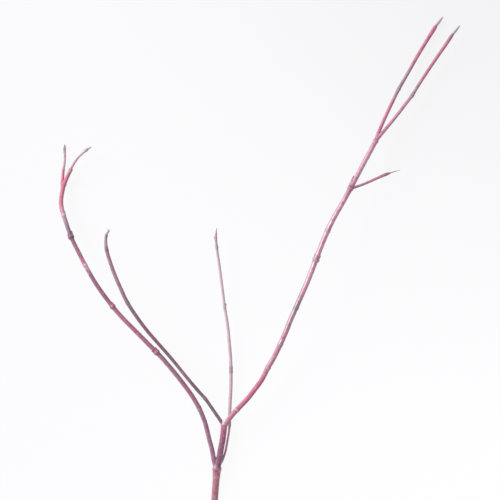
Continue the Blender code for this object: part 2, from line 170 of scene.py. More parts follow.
@dataclass(frozen=True)
class Patch:
    """A patch of another colour on the bark. Some patches are painted highlights, and some painted shade,
    along one side of a shoot.

    Attributes:
        point: Where along the route it is, as an index of its points with a fraction.
        turn: Turn of its middle about the shoot.
        length: Its length along the shoot in millimetres.
        width: Its width round the shoot in millimetres.
        tint: Its colour.
        strength: How much of that colour shows.
    """

    point: float
    turn: float
    length: float
    width: float
    tint: Tint
    strength: float = 0.8


@dataclass(frozen=True)
class Shoot:
    """One stretch of growth.

    Attributes:
        route: Its middle line.
        diameters: Pairs of share of its length and diameter.
        tints: Pairs of route point and colour.
        nodes: Its leaf nodes.
        patches: Patches of other colours on it, painted highlights and painted shade among them.
        calm: Pairs of share of its length and of how dull and plain its bark is, 0 to 1.
        seed: Start of its random draws.
    """

    route: tuple[Point, ...]
    diameters: Table
    tints: tuple[tuple[float, Tint], ...]
    nodes: tuple[LeafNode, ...] = ()
    patches: tuple[Patch, ...] = ()
    calm: Table = ((0.0, 0.0),)
    seed: int = 0


@dataclass(frozen=True)
class EndBud:
    """The closed bud that ends a shoot, of two narrow scales pressed together.

    Attributes:
        reach: Its tip, measured from the end of the shoot.
        diameters: Pairs of share of its length and diameter.
        prongs: Tips of scales that stand open, measured from the bud's tip.
        seam: Turn of the slit between the two scales.
        base: Colour where it leaves the shoot.
        middle: Colour of its scales.
        tip: Colour of its point.
        tip_start: Where that colour starts, as a share of the bud's length.
    """

    reach: Point
    diameters: Table
    prongs: tuple[Point, ...] = ()
    seam: float = 70.0
    base: Tint = Tint.FAWN
    middle: Tint = Tint.BUD
    tip: Tint = Tint.BUD_DARK
    tip_start: float = 0.6


LOWER_STEM = Shoot(
    route=((-1.1, 0.0, 2.6), (-0.2, 12.0, 2.9), (0.7, 24.0, 3.6), (1.4, 33.0, 4.4)),
    diameters=((0.0, 5.4), (0.8, 5.6), (0.9, 6.4), (1.0, 6.7)),
    tints=((0.0, Tint.HEATHER), (2.0, Tint.HEATHER), (2.3, Tint.SALMON), (2.6, Tint.HEATHER)),
    nodes=(LeafNode(2.3, 1.1, ring_strength=0.4, shade_strength=0.0),),
    patches=(
        Patch(2.85, 45.0, 3.0, 2.0, Tint.SCAR, 0.95),
        Patch(2.9, 100.0, 3.4, 2.6, Tint.CRIMSON, 0.5),
    ),
    seed=11,
)

UPPER_STEM = Shoot(
    route=(
        (1.4, 33.0, 4.4), (3.4, 42.0, 5.4), (4.6, 49.0, 6.3),
        (5.8, 55.5, 7.1), (6.7, 62.5, 8.1), (7.2, 68.5, 8.9),
    ),
    diameters=((0.0, 5.4), (0.5, 4.8), (0.8, 4.9), (1.0, 5.4)),
    tints=(
        (0.0, Tint.MAUVE), (0.4, Tint.PLUM), (2.8, Tint.PLUM), (3.4, Tint.CRIMSON),
        (4.2, Tint.ROSE), (5.0, Tint.PINK),
    ),
    patches=(
        # Painted shadow: dark grey in the crotch on the right, between the stem and the upright shoot.
        Patch(0.35, 70.0, 4.4, 2.6, Tint.SHADE, 0.85),
        Patch(0.2, 150.0, 5.0, 2.6, Tint.LILAC, 0.7),
        # Painted shade: the stem's right side darkened along its length.
        Patch(2.2, 15.0, 34.0, 3.2, Tint.SHADE, 0.35),
    ),
    seed=12,
)

LEFT_LIMB = Shoot(
    route=(
        (1.4, 33.0, 4.4), (-0.7, 38.5, 5.0), (-2.4, 48.0, 6.2), (-4.5, 56.0, 7.2),
        (-7.4, 68.0, 8.8), (-9.6, 74.5, 9.7), (-12.6, 81.5, 10.8), (-18.0, 91.0, 12.5),
        (-25.5, 101.5, 14.5), (-33.4, 111.6, 16.6), (-41.6, 121.3, 18.6), (-46.5, 126.5, 19.5),
        (-55.0, 135.0, 21.0), (-64.0, 144.2, 22.2), (-73.0, 153.3, 22.8), (-81.5, 163.0, 22.8),
        (-89.2, 173.0, 22.0), (-96.3, 183.5, 20.6), (-103.5, 196.0, 18.6), (-108.6, 205.8, 16.8),
        (-113.5, 215.5, 14.8), (-116.0, 221.5, 13.4), (-118.6, 229.0, 11.5), (-121.0, 236.0, 9.7),
        (-122.7, 242.3, 8.2), (-123.0, 248.5, 6.9), (-122.0, 254.8, 5.8), (-120.7, 260.5, 5.0),
    ),
    diameters=(
        (0.0, 3.9), (0.06, 3.7), (0.4, 3.7), (0.5, 3.6), (0.85, 3.3), (0.93, 3.6), (1.0, 3.2),
    ),
    tints=(
        (0.0, Tint.LILAC), (1.2, Tint.MAUVE), (6.2, Tint.MAUVE), (7.0, Tint.ROSE), (8.0, Tint.ROSE),
        (8.6, Tint.MAUVE), (10.4, Tint.MAUVE), (11.6, Tint.ROSE), (14.6, Tint.ROSE),
        (15.6, Tint.WINE), (17.4, Tint.WINE), (17.8, Tint.LILAC), (18.05, Tint.LILAC),
        (18.15, Tint.RUBY), (18.4, Tint.RUBY), (18.8, Tint.WINE), (20.2, Tint.WINE),
        (20.9, Tint.DUSK), (21.6, Tint.DUSK), (22.5, Tint.FAWN), (23.2, Tint.LILAC),
        (23.8, Tint.PINK), (24.6, Tint.CORAL), (27.0, Tint.CORAL),
    ),
    nodes=(
        LeafNode(6, 1.1),
        LeafNode(11, 1.45, 0.0, (1, -1), 3.6, ring_strength=0.1, shade=Tint.CRIMSON, shade_strength=0.5),
        LeafNode(15, 1.4, 20.0, (1,), 3.0, ring_strength=0.1, shade=Tint.CRIMSON, shade_strength=0.4),
        LeafNode(18, 1.15, ring_strength=0.95, shade_strength=0.1),
        LeafNode(20.45, 1.5, 0.0, (1,), 5.0, 2.0, ring_strength=0.0, shade=Tint.SHADE, shade_strength=0.4),
        LeafNode(20.45, 1.0, 0.0, (-1,), 3.4, 2.0, ring_strength=0.0, shade_strength=0.0),
        LeafNode(23, 1.15, 20.0, (1,), 2.6, 1.3, ring_strength=1.0, shade_strength=0.0),
    ),
    patches=(
        Patch(3.3, 20.0, 8.0, 1.4, Tint.CRIMSON, 0.6),
        Patch(15.2, 60.0, 3.0, 2.6, Tint.RUBY, 0.6),
        Patch(20.7, 90.0, 6.4, 7.0, Tint.SHADE, 0.65),
        Patch(19.2, 100.0, 14.0, 1.6, Tint.RUBY, 0.4),
        Patch(17.5, 140.0, 3.0, 1.8, Tint.SCAR, 0.8),
        # Painted shade: the lit left side darkened towards the fork.
        Patch(25.6, 150.0, 44.0, 3.2, Tint.RUBY, 0.85),
    ),
    calm=((0.0, 0.0), (0.8, 0.0), (0.9, 0.6)),
    seed=13,
)

LEFT_TWIG = Shoot(
    route=(
        (-122.0, 255.0, 5.8), (-122.2, 261.5, 4.8), (-121.8, 266.0, 3.9), (-121.4, 272.0, 3.0),
        (-120.5, 277.5, 2.2), (-120.3, 283.0, 1.5), (-120.5, 287.5, 1.1),
    ),
    diameters=((0.0, 2.4), (0.2, 2.8), (0.38, 2.4), (0.5, 2.2), (0.57, 1.9), (0.92, 1.8), (1.0, 2.1)),
    tints=((0.0, Tint.CORAL), (2.9, Tint.CORAL), (3.3, Tint.LILAC), (6.0, Tint.LILAC)),
    nodes=(LeafNode(3.1, 1.12, ring_strength=0.3, shade_strength=0.2),),
    calm=((0.0, 0.6), (0.5, 0.3)),
    seed=14,
)

LEFT_SPUR = Shoot(
    route=(
        (-120.7, 260.5, 5.0), (-118.7, 265.0, 5.7), (-115.9, 271.0, 6.5), (-113.4, 276.0, 7.4),
        (-110.2, 280.8, 8.4), (-107.5, 283.8, 9.1), (-104.0, 287.0, 9.9),
    ),
    diameters=((0.0, 3.2), (0.2, 3.0), (0.36, 2.7), (0.44, 1.9), (0.85, 1.8), (1.0, 2.3)),
    tints=(
        (0.0, Tint.CORAL), (1.6, Tint.CORAL), (2.0, Tint.TIP), (4.0, Tint.LILAC),
        (6.0, Tint.BUD_PALE),
    ),
    nodes=(
        LeafNode(2, 1.15, 0.0, (1, -1), 2.2, 1.1, shade_strength=0.4),
        LeafNode(5, 1.05, 90.0, (), ring_strength=0.2, shade_strength=0.1),
    ),
    calm=((0.0, 0.6), (0.5, 0.3)),
    seed=15,
)

INNER_LEFT_SHOOT = Shoot(
    route=(
        (7.2, 68.5, 8.9), (5.0, 70.8, 9.3), (1.4, 76.0, 10.4), (-4.4, 84.5, 12.2),
        (-8.0, 89.5, 13.3), (-14.0, 96.3, 15.0), (-22.2, 106.0, 17.4), (-30.2, 116.0, 19.8),
        (-38.0, 125.4, 22.0), (-46.6, 135.2, 24.2), (-54.6, 144.6, 26.2), (-62.2, 154.8, 28.0),
        (-69.6, 166.2, 29.6), (-74.5, 176.5, 30.6), (-79.5, 188.0, 31.2), (-83.7, 199.8, 31.4),
        (-86.1, 208.6, 31.2), (-86.8, 215.3, 30.8), (-86.2, 220.3, 30.4),
    ),
    diameters=((0.0, 3.0), (0.08, 2.7), (0.5, 2.8), (0.75, 3.1), (0.93, 2.9), (0.98, 2.3), (1.0, 2.4)),
    tints=(
        (0.0, Tint.MAUVE), (1.0, Tint.DUSK), (4.6, Tint.DUSK), (5.2, Tint.SLATE), (6.2, Tint.MAUVE),
        (7.5, Tint.DUSK), (9.5, Tint.WINE), (11.6, Tint.DUSK), (13.0, Tint.MAUVE),
        (15.2, Tint.MAUVE), (16.0, Tint.WINE), (16.8, Tint.FAWN), (18.0, Tint.ASH),
    ),
    nodes=(
        LeafNode(4, 1.1, 80.0, ring_strength=0.1, shade_strength=0.1),
        LeafNode(12, 1.12, 80.0, ring_strength=0.1, shade_strength=0.5),
        LeafNode(16, 1.1, 0.0, ring_strength=0.1, shade=Tint.SHADE),
    ),
    patches=(Patch(0.9, 60.0, 3.0, 3.4, Tint.SHADE, 0.8), Patch(11.9, 70.0, 8.0, 5.0, Tint.SLATE, 0.7)),
    seed=16,
)

UPRIGHT_SHOOT = Shoot(
    route=(
        (1.4, 33.0, 4.4), (5.5, 39.5, 3.0), (8.2, 46.8, 2.4), (9.6, 54.5, 2.3),
        (10.8, 61.5, 2.3), (11.5, 68.5, 2.4), (11.6, 77.0, 2.7), (12.0, 87.0, 3.2),
        (12.5, 97.5, 3.7), (12.6, 110.3, 4.4), (12.2, 122.5, 5.2), (11.2, 134.5, 6.0),
        (10.3, 144.5, 6.7), (9.0, 154.0, 7.4), (7.5, 162.5, 8.0), (6.4, 172.0, 8.7),
        (5.1, 182.0, 9.4), (3.6, 193.5, 10.2), (2.2, 203.2, 10.9), (1.3, 210.2, 11.4),
        (0.6, 216.8, 11.9), (0.7, 220.8, 12.1),
    ),
    diameters=(
        (0.0, 2.4), (0.07, 1.8), (0.17, 1.8), (0.24, 2.6), (0.39, 2.8), (0.55, 2.6), (0.7, 2.2),
        (0.86, 2.2), (0.97, 1.9), (1.0, 1.9),
    ),
    tints=(
        (0.0, Tint.LILAC), (1.0, Tint.LILAC), (2.0, Tint.PETAL), (4.4, Tint.PETAL),
        (5.4, Tint.BLUSH), (17.0, Tint.BLUSH), (21.0, Tint.LILAC),
    ),
    nodes=(
        LeafNode(5, 1.2, shade_strength=0.9),
        LeafNode(9.05, 1.16, ring_strength=0.0, shade_strength=0.0),
        LeafNode(9.3, 1.16, ring_strength=0.1, shade_strength=0.0),
        LeafNode(14, 1.2, 10.0, (1,), 2.8, ring_strength=0.2, shade_strength=0.2),
        LeafNode(19, 1.3, 80.0, (1, -1), 3.0),
        LeafNode(20, 1.15, 0.0, (-1,), 1.8, 1.1),
    ),
    patches=(
        # Painted shade: a dark line down the right side of the lower shoot.
        Patch(3.0, 0.0, 34.0, 1.0, Tint.SHADE, 0.6),
        Patch(9.18, 90.0, 8.4, 6.0, Tint.ASH, 0.5),
    ),
    calm=((0.0, 0.6),),
    seed=17,
)

RIGHT_LIMB = Shoot(
    route=(
        (7.2, 68.5, 8.9), (10.2, 71.8, 9.5), (13.4, 76.0, 10.1), (17.6, 80.6, 10.8),
        (25.2, 88.6, 12.2), (29.9, 94.5, 13.2), (37.2, 104.5, 14.9), (42.2, 114.3, 16.7),
        (46.7, 122.0, 18.1), (52.2, 133.3, 20.0), (57.0, 144.3, 21.8), (59.3, 150.3, 22.7),
        (64.6, 162.5, 24.3), (69.7, 174.0, 25.5), (74.2, 184.5, 26.2), (80.3, 200.2, 26.6),
        (84.0, 210.0, 26.2), (89.6, 223.3, 25.1), (95.4, 235.0, 23.7), (101.8, 246.0, 21.9),
        (107.8, 257.0, 19.9), (113.7, 268.0, 17.9), (118.8, 277.7, 16.1), (124.6, 288.4, 14.2),
        (128.0, 294.8, 13.0),
    ),
    diameters=((0.0, 4.1), (0.08, 4.0), (0.3, 4.1), (0.5, 4.3), (0.7, 4.2), (0.85, 3.8), (1.0, 4.0)),
    tints=(
        (0.0, Tint.PINK), (1.2, Tint.SALMON), (2.4, Tint.SALMON), (3.2, Tint.CERISE),
        (6.0, Tint.CERISE), (7.0, Tint.PINK), (10.0, Tint.PINK), (11.3, Tint.LILAC),
        (12.2, Tint.FAWN), (13.2, Tint.PETAL), (19.2, Tint.PETAL), (20.0, Tint.ROSE),
        (20.8, Tint.PETAL), (23.0, Tint.PETAL), (24.0, Tint.PINK),
    ),
    nodes=(
        LeafNode(3, 1.1, ring_strength=0.9),
        LeafNode(7, 1.2, ring_strength=0.7, shade_strength=0.1),
        LeafNode(9, 1.12, ring_strength=0.4),
        LeafNode(12, 1.1, ring_strength=0.2, shade_strength=0.6),
        LeafNode(15, 1.4, 10.0, (1, -1), 4.4, shade_strength=0.5),
        LeafNode(17, 1.15, 80.0),
        LeafNode(20, 1.35, 10.0, (), ring_strength=0.5, shade=Tint.CRIMSON, shade_strength=0.6),
    ),
    patches=(
        # Painted shade: a dark rim down the left edge, beside the painted highlight.
        Patch(15.0, 172.0, 340.0, 2.3, Tint.WINE, 0.75),
        # Painted shade: the right side darkened along the limb.
        Patch(12.0, 5.0, 120.0, 1.2, Tint.WINE, 0.5),
        Patch(20.0, 5.0, 130.0, 1.3, Tint.WINE, 0.6),
        # Partly a pale ridge where a bud lies pressed to the bark, partly painted highlight.
        Patch(7.6, 120.0, 16.0, 1.2, Tint.SCAR, 0.7),
        # Painted highlight: pale stripes down the upper left side, where the lamp's gloss falls.
        Patch(9.1, 115.0, 7.0, 2.0, Tint.PEARL, 0.9),
        Patch(11.5, 115.0, 50.0, 1.1, Tint.PEARL, 0.8),
        Patch(14.6, 115.0, 50.0, 1.2, Tint.PEARL, 0.8),
        Patch(17.6, 115.0, 56.0, 1.2, Tint.PEARL, 0.8),
        Patch(22.0, 115.0, 44.0, 1.1, Tint.SCAR, 0.7),
    ),
    calm=((0.0, 0.6), (0.25, 0.5), (0.36, 0.0)),
    seed=18,
)

SIDE_TWIG = Shoot(
    route=(
        (107.8, 257.0, 19.9), (112.0, 258.2, 19.6), (116.7, 259.8, 19.0), (122.6, 262.3, 18.0),
        (128.2, 264.8, 17.0), (134.0, 267.4, 15.9), (138.8, 269.2, 15.1),
    ),
    diameters=((0.0, 2.3), (0.3, 2.0), (0.7, 2.1), (0.92, 2.7), (1.0, 2.0)),
    tints=((0.0, Tint.CRIMSON), (1.0, Tint.ROSE), (2.0, Tint.FAWN), (4.0, Tint.TIP), (6.0, Tint.FAWN)),
    seed=19,
)

TIP_SHOOT_LEFT = Shoot(
    route=(
        (128.0, 294.8, 13.0), (131.1, 303.4, 11.6), (136.7, 316.0, 9.8), (142.5, 328.2, 8.1),
        (146.5, 336.3, 7.0), (151.8, 345.5, 5.8), (158.0, 356.5, 4.5), (164.4, 367.5, 3.3),
        (170.9, 378.2, 2.3), (176.5, 387.1, 1.6),
    ),
    diameters=((0.0, 3.0), (0.15, 2.8), (0.7, 2.75), (0.9, 3.0), (0.97, 3.3), (1.0, 2.9)),
    tints=(
        (0.0, Tint.TIP), (2.6, Tint.TIP), (3.4, Tint.FAWN), (5.4, Tint.FAWN), (6.4, Tint.TIP),
        (8.0, Tint.RUBY), (9.0, Tint.TIP),
    ),
    nodes=(LeafNode(4, 1.2, 90.0, (1, -1), 3.4, shade_strength=0.8),),
    seed=20,
)

TIP_SHOOT_RIGHT = Shoot(
    route=(
        (128.0, 294.8, 13.0), (133.8, 301.8, 12.6), (140.2, 309.4, 12.0), (146.5, 317.3, 11.4),
        (151.0, 323.2, 11.0), (157.2, 331.3, 10.4), (161.7, 338.6, 10.0), (168.9, 349.7, 9.4),
        (176.2, 360.5, 9.0), (183.6, 371.2, 8.8), (189.6, 380.0, 8.8),
    ),
    diameters=((0.0, 2.9), (0.15, 2.6), (0.7, 2.6), (0.9, 2.8), (0.97, 2.8), (1.0, 2.2)),
    tints=(
        (0.0, Tint.PINK), (4.4, Tint.PINK), (5.0, Tint.FAWN), (5.8, Tint.FAWN), (6.4, Tint.TIP),
        (9.3, Tint.TIP), (10.0, Tint.DUSK),
    ),
    nodes=(LeafNode(5, 1.3, 90.0, (1, -1), 3.4, shade_strength=0.6),),
    seed=21,
)

# The dry stump of the leading shoot, standing in the second fork
DEAD_TIP = Shoot(
    route=((7.0, 68.3, 9.6), (7.4, 72.0, 10.7)),
    diameters=((0.0, 3.0), (0.85, 3.0), (1.0, 2.5)),
    tints=((0.0, Tint.SCAR), (1.0, Tint.PEARL)),
    seed=22,
)

# The one long side bud, which lies along the right limb opposite the side twig
LONG_BUD = Shoot(
    route=((106.7, 257.6, 19.8), (109.0, 263.5, 18.7), (110.5, 267.4, 17.9)),
    diameters=((0.0, 1.6), (0.3, 2.1), (0.68, 1.5), (1.0, 0.35)),
    tints=((0.0, Tint.PINK), (1.2, Tint.LILAC), (1.6, Tint.DUSK), (2.0, Tint.SHADE)),
    seed=23,
)

TIP_LEFT_BUD = EndBud(
    reach=(5.9, 7.5, 0.7),
    diameters=((0.0, 2.2), (0.1, 2.0), (0.4, 2.6), (0.72, 1.6), (1.0, 0.3)),
    base=Tint.FAWN,
    middle=Tint.BUD_PALE,
    tip=Tint.BUD,
)
TIP_RIGHT_BUD = EndBud(
    reach=(6.2, 7.4, 0.3),
    diameters=((0.0, 1.8), (0.25, 2.2), (0.5, 2.1), (0.75, 1.4), (1.0, 0.3)),
    middle=Tint.BUD_PALE,
    tip=Tint.BUD,
)
SIDE_TWIG_BUD = EndBud(
    reach=(8.8, 2.5, -0.9),
    diameters=((0.0, 1.7), (0.15, 1.1), (0.5, 0.8), (1.0, 0.3)),
    middle=Tint.BUD_PALE,
    tip=Tint.BUD_PALE,
)
UPRIGHT_BUD = EndBud(
    reach=(0.7, 4.9, 0.4),
    diameters=((0.0, 1.7), (0.3, 1.4), (0.6, 0.9), (1.0, 0.3)),
    base=Tint.LILAC,
    middle=Tint.BUD_PALE,
)
INNER_LEFT_BUD = EndBud(
    reach=(1.6, 2.4, -0.1),
    diameters=((0.0, 2.1), (0.3, 2.0), (0.65, 1.9), (1.0, 1.6)),
    prongs=((-0.6, 2.2, 0.5), (1.4, 1.7, 0.3), (0.4, 0.9, -0.8)),
    base=Tint.DUSK,
    middle=Tint.BUD_PALE,
)
LEFT_TWIG_BUD = EndBud(
    reach=(0.1, 5.0, 0.3),
    diameters=((0.0, 2.0), (0.25, 2.3), (0.6, 2.1), (0.85, 1.4), (1.0, 0.6)),
    base=Tint.LILAC,
    tip=Tint.BUD,
)
LEFT_SPUR_BUD = EndBud(
    reach=(5.4, 3.2, 1.4),
    diameters=((0.0, 2.1), (0.25, 2.8), (0.45, 2.6), (0.6, 1.0), (1.0, 0.3)),
    base=Tint.BUD_PALE,
    middle=Tint.BUD_PALE,
    tip=Tint.SHADE,
    tip_start=0.3,
)


def linear(hex_colour: str) -> tuple[float, float, float, float]:
    """Turns an sRGB colour to linear.

    Args:
        hex_colour: Six hex digits.

    Returns:
        Linear red, green and blue, and an alpha of 1.
    """
    values = []
    for start in (0, 2, 4):
        value = int(hex_colour[start:start + 2], 16) / 255
        values.append(value / 12.92 if value <= 0.04045 else ((value + 0.055) / 1.055) ** 2.4)
    return (values[0], values[1], values[2], 1.0)


def paint(tint: Tint) -> np.ndarray:
    """The linear colour of a tint."""
    return np.array(linear(tint.value))


def smooth_step(values: np.ndarray, low: float, high: float) -> np.ndarray:
    """Rises smoothly from 0 at low to 1 at high.

    Args:
        values: Any numbers.
        low: Where the rise starts.
        high: Where it ends.

    Returns:
        The share of the rise for each value.
    """
    share = np.clip((values - low) / (high - low), 0.0, 1.0)
    return share * share * (3 - 2 * share)


def bell(values: np.ndarray, reach: float) -> np.ndarray:
    """A smooth bump that is 1 at 0 and falls away over this reach."""
    return np.exp(-((values / reach) ** 2))


def turned(turn: np.ndarray, centre: float) -> np.ndarray:
    """How far each turn is from a centre turn, in radians from minus pi to pi."""
    return np.mod(turn - centre + math.pi, math.tau) - math.pi


def mixed(first: np.ndarray, second: np.ndarray, share: np.ndarray) -> np.ndarray:
    """Mixes two sets of rows.

    Args:
        first: Rows at a share of 0.
        second: Rows, or one row, at a share of 1.
        share: One share for each row.

    Returns:
        The mixed rows.
    """
    return first + (second - first) * share[:, None]


def unit(rows: np.ndarray) -> np.ndarray:
    """The rows, each brought to a length of 1."""
    return rows / np.maximum(np.linalg.norm(rows, axis=1), 1e-9)[:, None]


class Line:
    """A smooth middle line in millimetres, with a level and an upward side at each place."""

    def __init__(self, points: np.ndarray, knots: Sequence[int] = (0, -1)) -> None:
        """Measures the line.

        Args:
            points: Close points along it.
            knots: Indices of the points that the line was drawn through.
        """
        steps = np.linalg.norm(np.diff(points, axis=0), axis=1)
        self.points = points
        self.reached = np.concatenate([[0.0], np.cumsum(steps)])
        self.knots = self.reached[list(knots)]
        self.length = float(self.reached[-1])

    @classmethod
    def through(cls, route: Sequence[Point]) -> "Line":
        """Draws a smooth curve through points.

        Args:
            route: The points that it passes through.

        Returns:
            The line.
        """
        knots = np.array(route, float)
        knots = np.vstack([2 * knots[0] - knots[1], knots, 2 * knots[-1] - knots[-2]])
        shares = np.arange(1, SAMPLES_PER_SPAN + 1)[:, None] / SAMPLES_PER_SPAN
        points = [knots[1][None]]
        for a, b, c, d in zip(knots, knots[1:], knots[2:], knots[3:]):
            bend = (2 * a - 5 * b + 4 * c - d) * shares**2 + (3 * b - a - 3 * c + d) * shares**3
            points.append(0.5 * (2 * b + (c - a) * shares + bend))
        count = SAMPLES_PER_SPAN * (len(route) - 1) + 1
        return cls(np.vstack(points), range(0, count, SAMPLES_PER_SPAN))

    @classmethod
    def bent(cls, root: np.ndarray, elbow: np.ndarray, tip: np.ndarray) -> "Line":
        """Draws a curve with one bend.

        Args:
            root: Its start.
            elbow: The point that it bends towards.
            tip: Its end.

        Returns:
            The line.
        """
        shares = np.linspace(0.0, 1.0, 2 * SAMPLES_PER_SPAN + 1)[:, None]
        first = root + (elbow - root) * shares
        second = elbow + (tip - elbow) * shares
        return cls(first + (second - first) * shares)

    def at(self, along: np.ndarray) -> np.ndarray:
        """The points at these distances along the line."""
        return np.stack([np.interp(along, self.reached, self.points[:, axis]) for axis in range(3)], 1)

    def sides(self, along: np.ndarray) -> tuple[np.ndarray, np.ndarray, np.ndarray]:
        """Finds the directions at places on the line.

        Args:
            along: Distances along it.

        Returns:
            The heading, the level direction to its right and the direction up from it.
        """
        low = np.clip(along - HEADING_STEP, 0.0, self.length - HEADING_STEP)
        high = np.clip(along + HEADING_STEP, HEADING_STEP, self.length)
        heading = unit(self.at(high) - self.at(low))
        level = unit(np.cross(heading, (0.0, 0.0, 1.0)))
        return heading, level, np.cross(level, heading)


@dataclass
class Bark:
    """What a grown surface is like at many places.

    Attributes:
        radius: Distance from the middle line in millimetres.
        tint: Linear colour, four numbers a place.
        cork: How dull and corky it is, 0 to 1.
    """

    radius: np.ndarray
    tint: np.ndarray
    cork: np.ndarray


class Grown(Protocol):
    """Anything with a middle line and a surface all round it."""

    line: Line
    seed: int

    def bare_radius(self, along: np.ndarray) -> np.ndarray:
        """The radius without any detail, at distances along the line."""

    def bark(self, along: np.ndarray, turn: np.ndarray) -> Bark:
        """The surface at distances along the line and turns about it."""


@dataclass
class Growth:
    """A shoot worked out: its middle line, its swellings, side buds and lenticels.

    Attributes:
        shoot: What is grown.
        swell_reach: How far a node's swelling runs along the shoot, in millimetres.
        ring_height: Height of the scar round a node.
        ring_width: Half its width.
        ring_place: How far below the node it lies.
        ring_dip: How far it dips under each bud.
        ring_spread: How many times wider its colour is than its ridge.
        shade_reach: How far the colour beside a node runs.
        bud_outline: Pairs of share of a side bud's length and share of its width.
        bud_rounding: Share of its length over which its tip rounds off.
        bud_root_depth: Where its middle line starts, as a share of the radius.
        bud_clearance: How far its tip stands off the bark.
        bud_edge: Heights over the bark between which its own colour comes in.
        bud_darkening: Shares of its length between which it darkens.
        bud_strength: How much of its own colour shows.
        bud_cork: How dull it is.
        patch_softness: Share of a patch over which its edge fades.
        unevenness: Share by which the radius wanders.
        waves_drawn: How many waves it wanders in.
        wave_length: Least and greatest length of such a wave.
        lenticel_area: Square millimetres of bark for each lenticel.
        lenticel_reach: Least and greatest half length of a lenticel.
        lenticel_spread: Least and greatest half width of one.
        lenticel_height: How far it stands up.
        lenticel_edge: Share of its height below which its colour fades.
        lenticel_strength: How much of its own colour shows.
    """

    shoot: Shoot
    swell_reach: float = 1.4
    ring_height: float = 0.13
    ring_width: float = 0.24
    ring_place: float = 0.5
    ring_dip: float = 0.35
    ring_spread: float = 2.2
    shade_reach: float = 2.2
    bud_outline: Table = ((0.0, 0.75), (0.3, 1.0), (0.68, 0.72), (1.0, 0.3))
    bud_rounding: float = 0.14
    bud_root_depth: float = 0.55
    bud_clearance: float = 0.45
    bud_edge: Span = (0.02, 0.2)
    bud_darkening: Span = (0.4, 1.0)
    bud_strength: float = 0.85
    bud_cork: float = 0.7
    patch_softness: float = 0.85
    unevenness: float = 0.02
    waves_drawn: int = 6
    wave_length: Span = (3.0, 16.0)
    lenticel_area: float = 26.0
    lenticel_reach: Span = (0.45, 0.9)
    lenticel_spread: Span = (0.25, 0.4)
    lenticel_height: float = 0.05
    lenticel_edge: float = 0.5
    lenticel_strength: float = 0.45
    line: Line = field(init=False)
    seed: int = field(init=False)
    waves: list[tuple[float, int, float]] = field(init=False)
    lenticels: list[tuple[float, float, float, float]] = field(init=False)

    def __post_init__(self) -> None:
        """Draws the line and scatters the lenticels."""
        self.line = Line.through(self.shoot.route)
        self.seed = self.shoot.seed
        draw = random.Random(self.seed)
        self.waves = [
            (draw.uniform(*self.wave_length), draw.choice((0, 1, 2)), draw.uniform(0.0, math.tau))
            for _ in range(self.waves_drawn)
        ]
        mean = sum(width for _, width in self.shoot.diameters) / len(self.shoot.diameters)
        # Real lenticels are about half as big, which would not show from a step away.
        self.lenticels = [
            (draw.uniform(0.0, self.line.length), draw.uniform(0.0, math.tau),
             draw.uniform(*self.lenticel_reach), draw.uniform(*self.lenticel_spread))
            for _ in range(round(math.pi * mean * self.line.length / self.lenticel_area))
        ]

    def place_of(self, point: float) -> float:
        """The distance along the line of a route point, fractions included."""
        return float(np.interp(point, range(len(self.line.knots)), self.line.knots))

    def bare_radius(self, along: np.ndarray) -> np.ndarray:
        """The radius without swellings, buds or marks."""
        shares, widths = zip(*self.shoot.diameters)
        return np.interp(along / self.line.length, shares, widths) / 2

    def bud_rise(self, node: LeafNode, side: int, along: np.ndarray, turn: np.ndarray,
                 radius: np.ndarray) -> np.ndarray:
        """Finds how far a side bud stands out of the bark.

        Args:
            node: The leaf node that carries it.
            side: Which bud of the pair, 1 or -1.
            along: Distances along the shoot.
            turn: Turns about the shoot in radians.
            radius: The shoot's radius at each place.

        Returns:
            The rise in millimetres at each place.
        """
        share = (along - self.place_of(node.point)) / node.bud_length
        shares, widths = zip(*self.bud_outline)
        width = np.interp(share, shares, widths) * node.bud_width / 2
        width = width * np.sqrt(np.clip((1 - share) / self.bud_rounding, 0.0, 1.0))
        middle = self.bud_root_depth * radius
        middle = middle + share * ((1 - self.bud_root_depth) * radius + self.bud_clearance)
        centre = math.radians(node.roll) + (0.0 if side > 0 else math.pi)
        aside = turned(turn, centre) * radius
        bulge = np.sqrt(np.clip(width**2 - aside**2, 0.0, None))
        rise = np.where(bulge > 0, middle + bulge - radius, 0.0)
        return np.where((share >= 0) & (share <= 1), np.clip(rise, 0.0, None), 0.0)

    def colour(self, along: np.ndarray, turn: np.ndarray, radius: np.ndarray) -> np.ndarray:
        """Reads the shoot's colour, patches included.

        Args:
            along: Distances along the shoot.
            turn: Turns about it in radians.
            radius: Its radius at each place.

        Returns:
            Linear colours.
        """
        points, tints = zip(*self.shoot.tints)
        places = [self.place_of(point) for point in points]
        colours = np.array([paint(tint) for tint in tints])
        tint = np.stack([np.interp(along, places, colours[:, channel]) for channel in range(4)], 1)
        for patch in self.shoot.patches:
            aside = turned(turn, math.radians(patch.turn)) * radius / (patch.width / 2)
            ahead = (along - self.place_of(patch.point)) / (patch.length / 2)
            share = patch.strength * smooth_step(1 - aside**2 - ahead**2, 0.0, self.patch_softness)
            tint = mixed(tint, paint(patch.tint), share)
        return tint

    def bark(self, along: np.ndarray, turn: np.ndarray) -> Bark:
        """Works out the surface.

        Args:
            along: Distances along the shoot in millimetres.
            turn: Turns about it in radians.

        Returns:
            The bark at each place.
        """
        radius = self.bare_radius(along)
        for wave, lobes, phase in self.waves:
            swing = np.sin(along / wave * math.tau + lobes * turn + phase)
            radius = radius * (1 + self.unevenness / len(self.waves) * swing)
        shares, calmness = zip(*self.shoot.calm)
        cork = np.interp(along / self.line.length, shares, calmness)
        bark = Bark(radius, self.colour(along, turn, radius), cork)
        for node in self.shoot.nodes:
            self.add_node_marks(bark, node, along, turn)
        self.add_lenticels(bark, along, turn)
        return bark

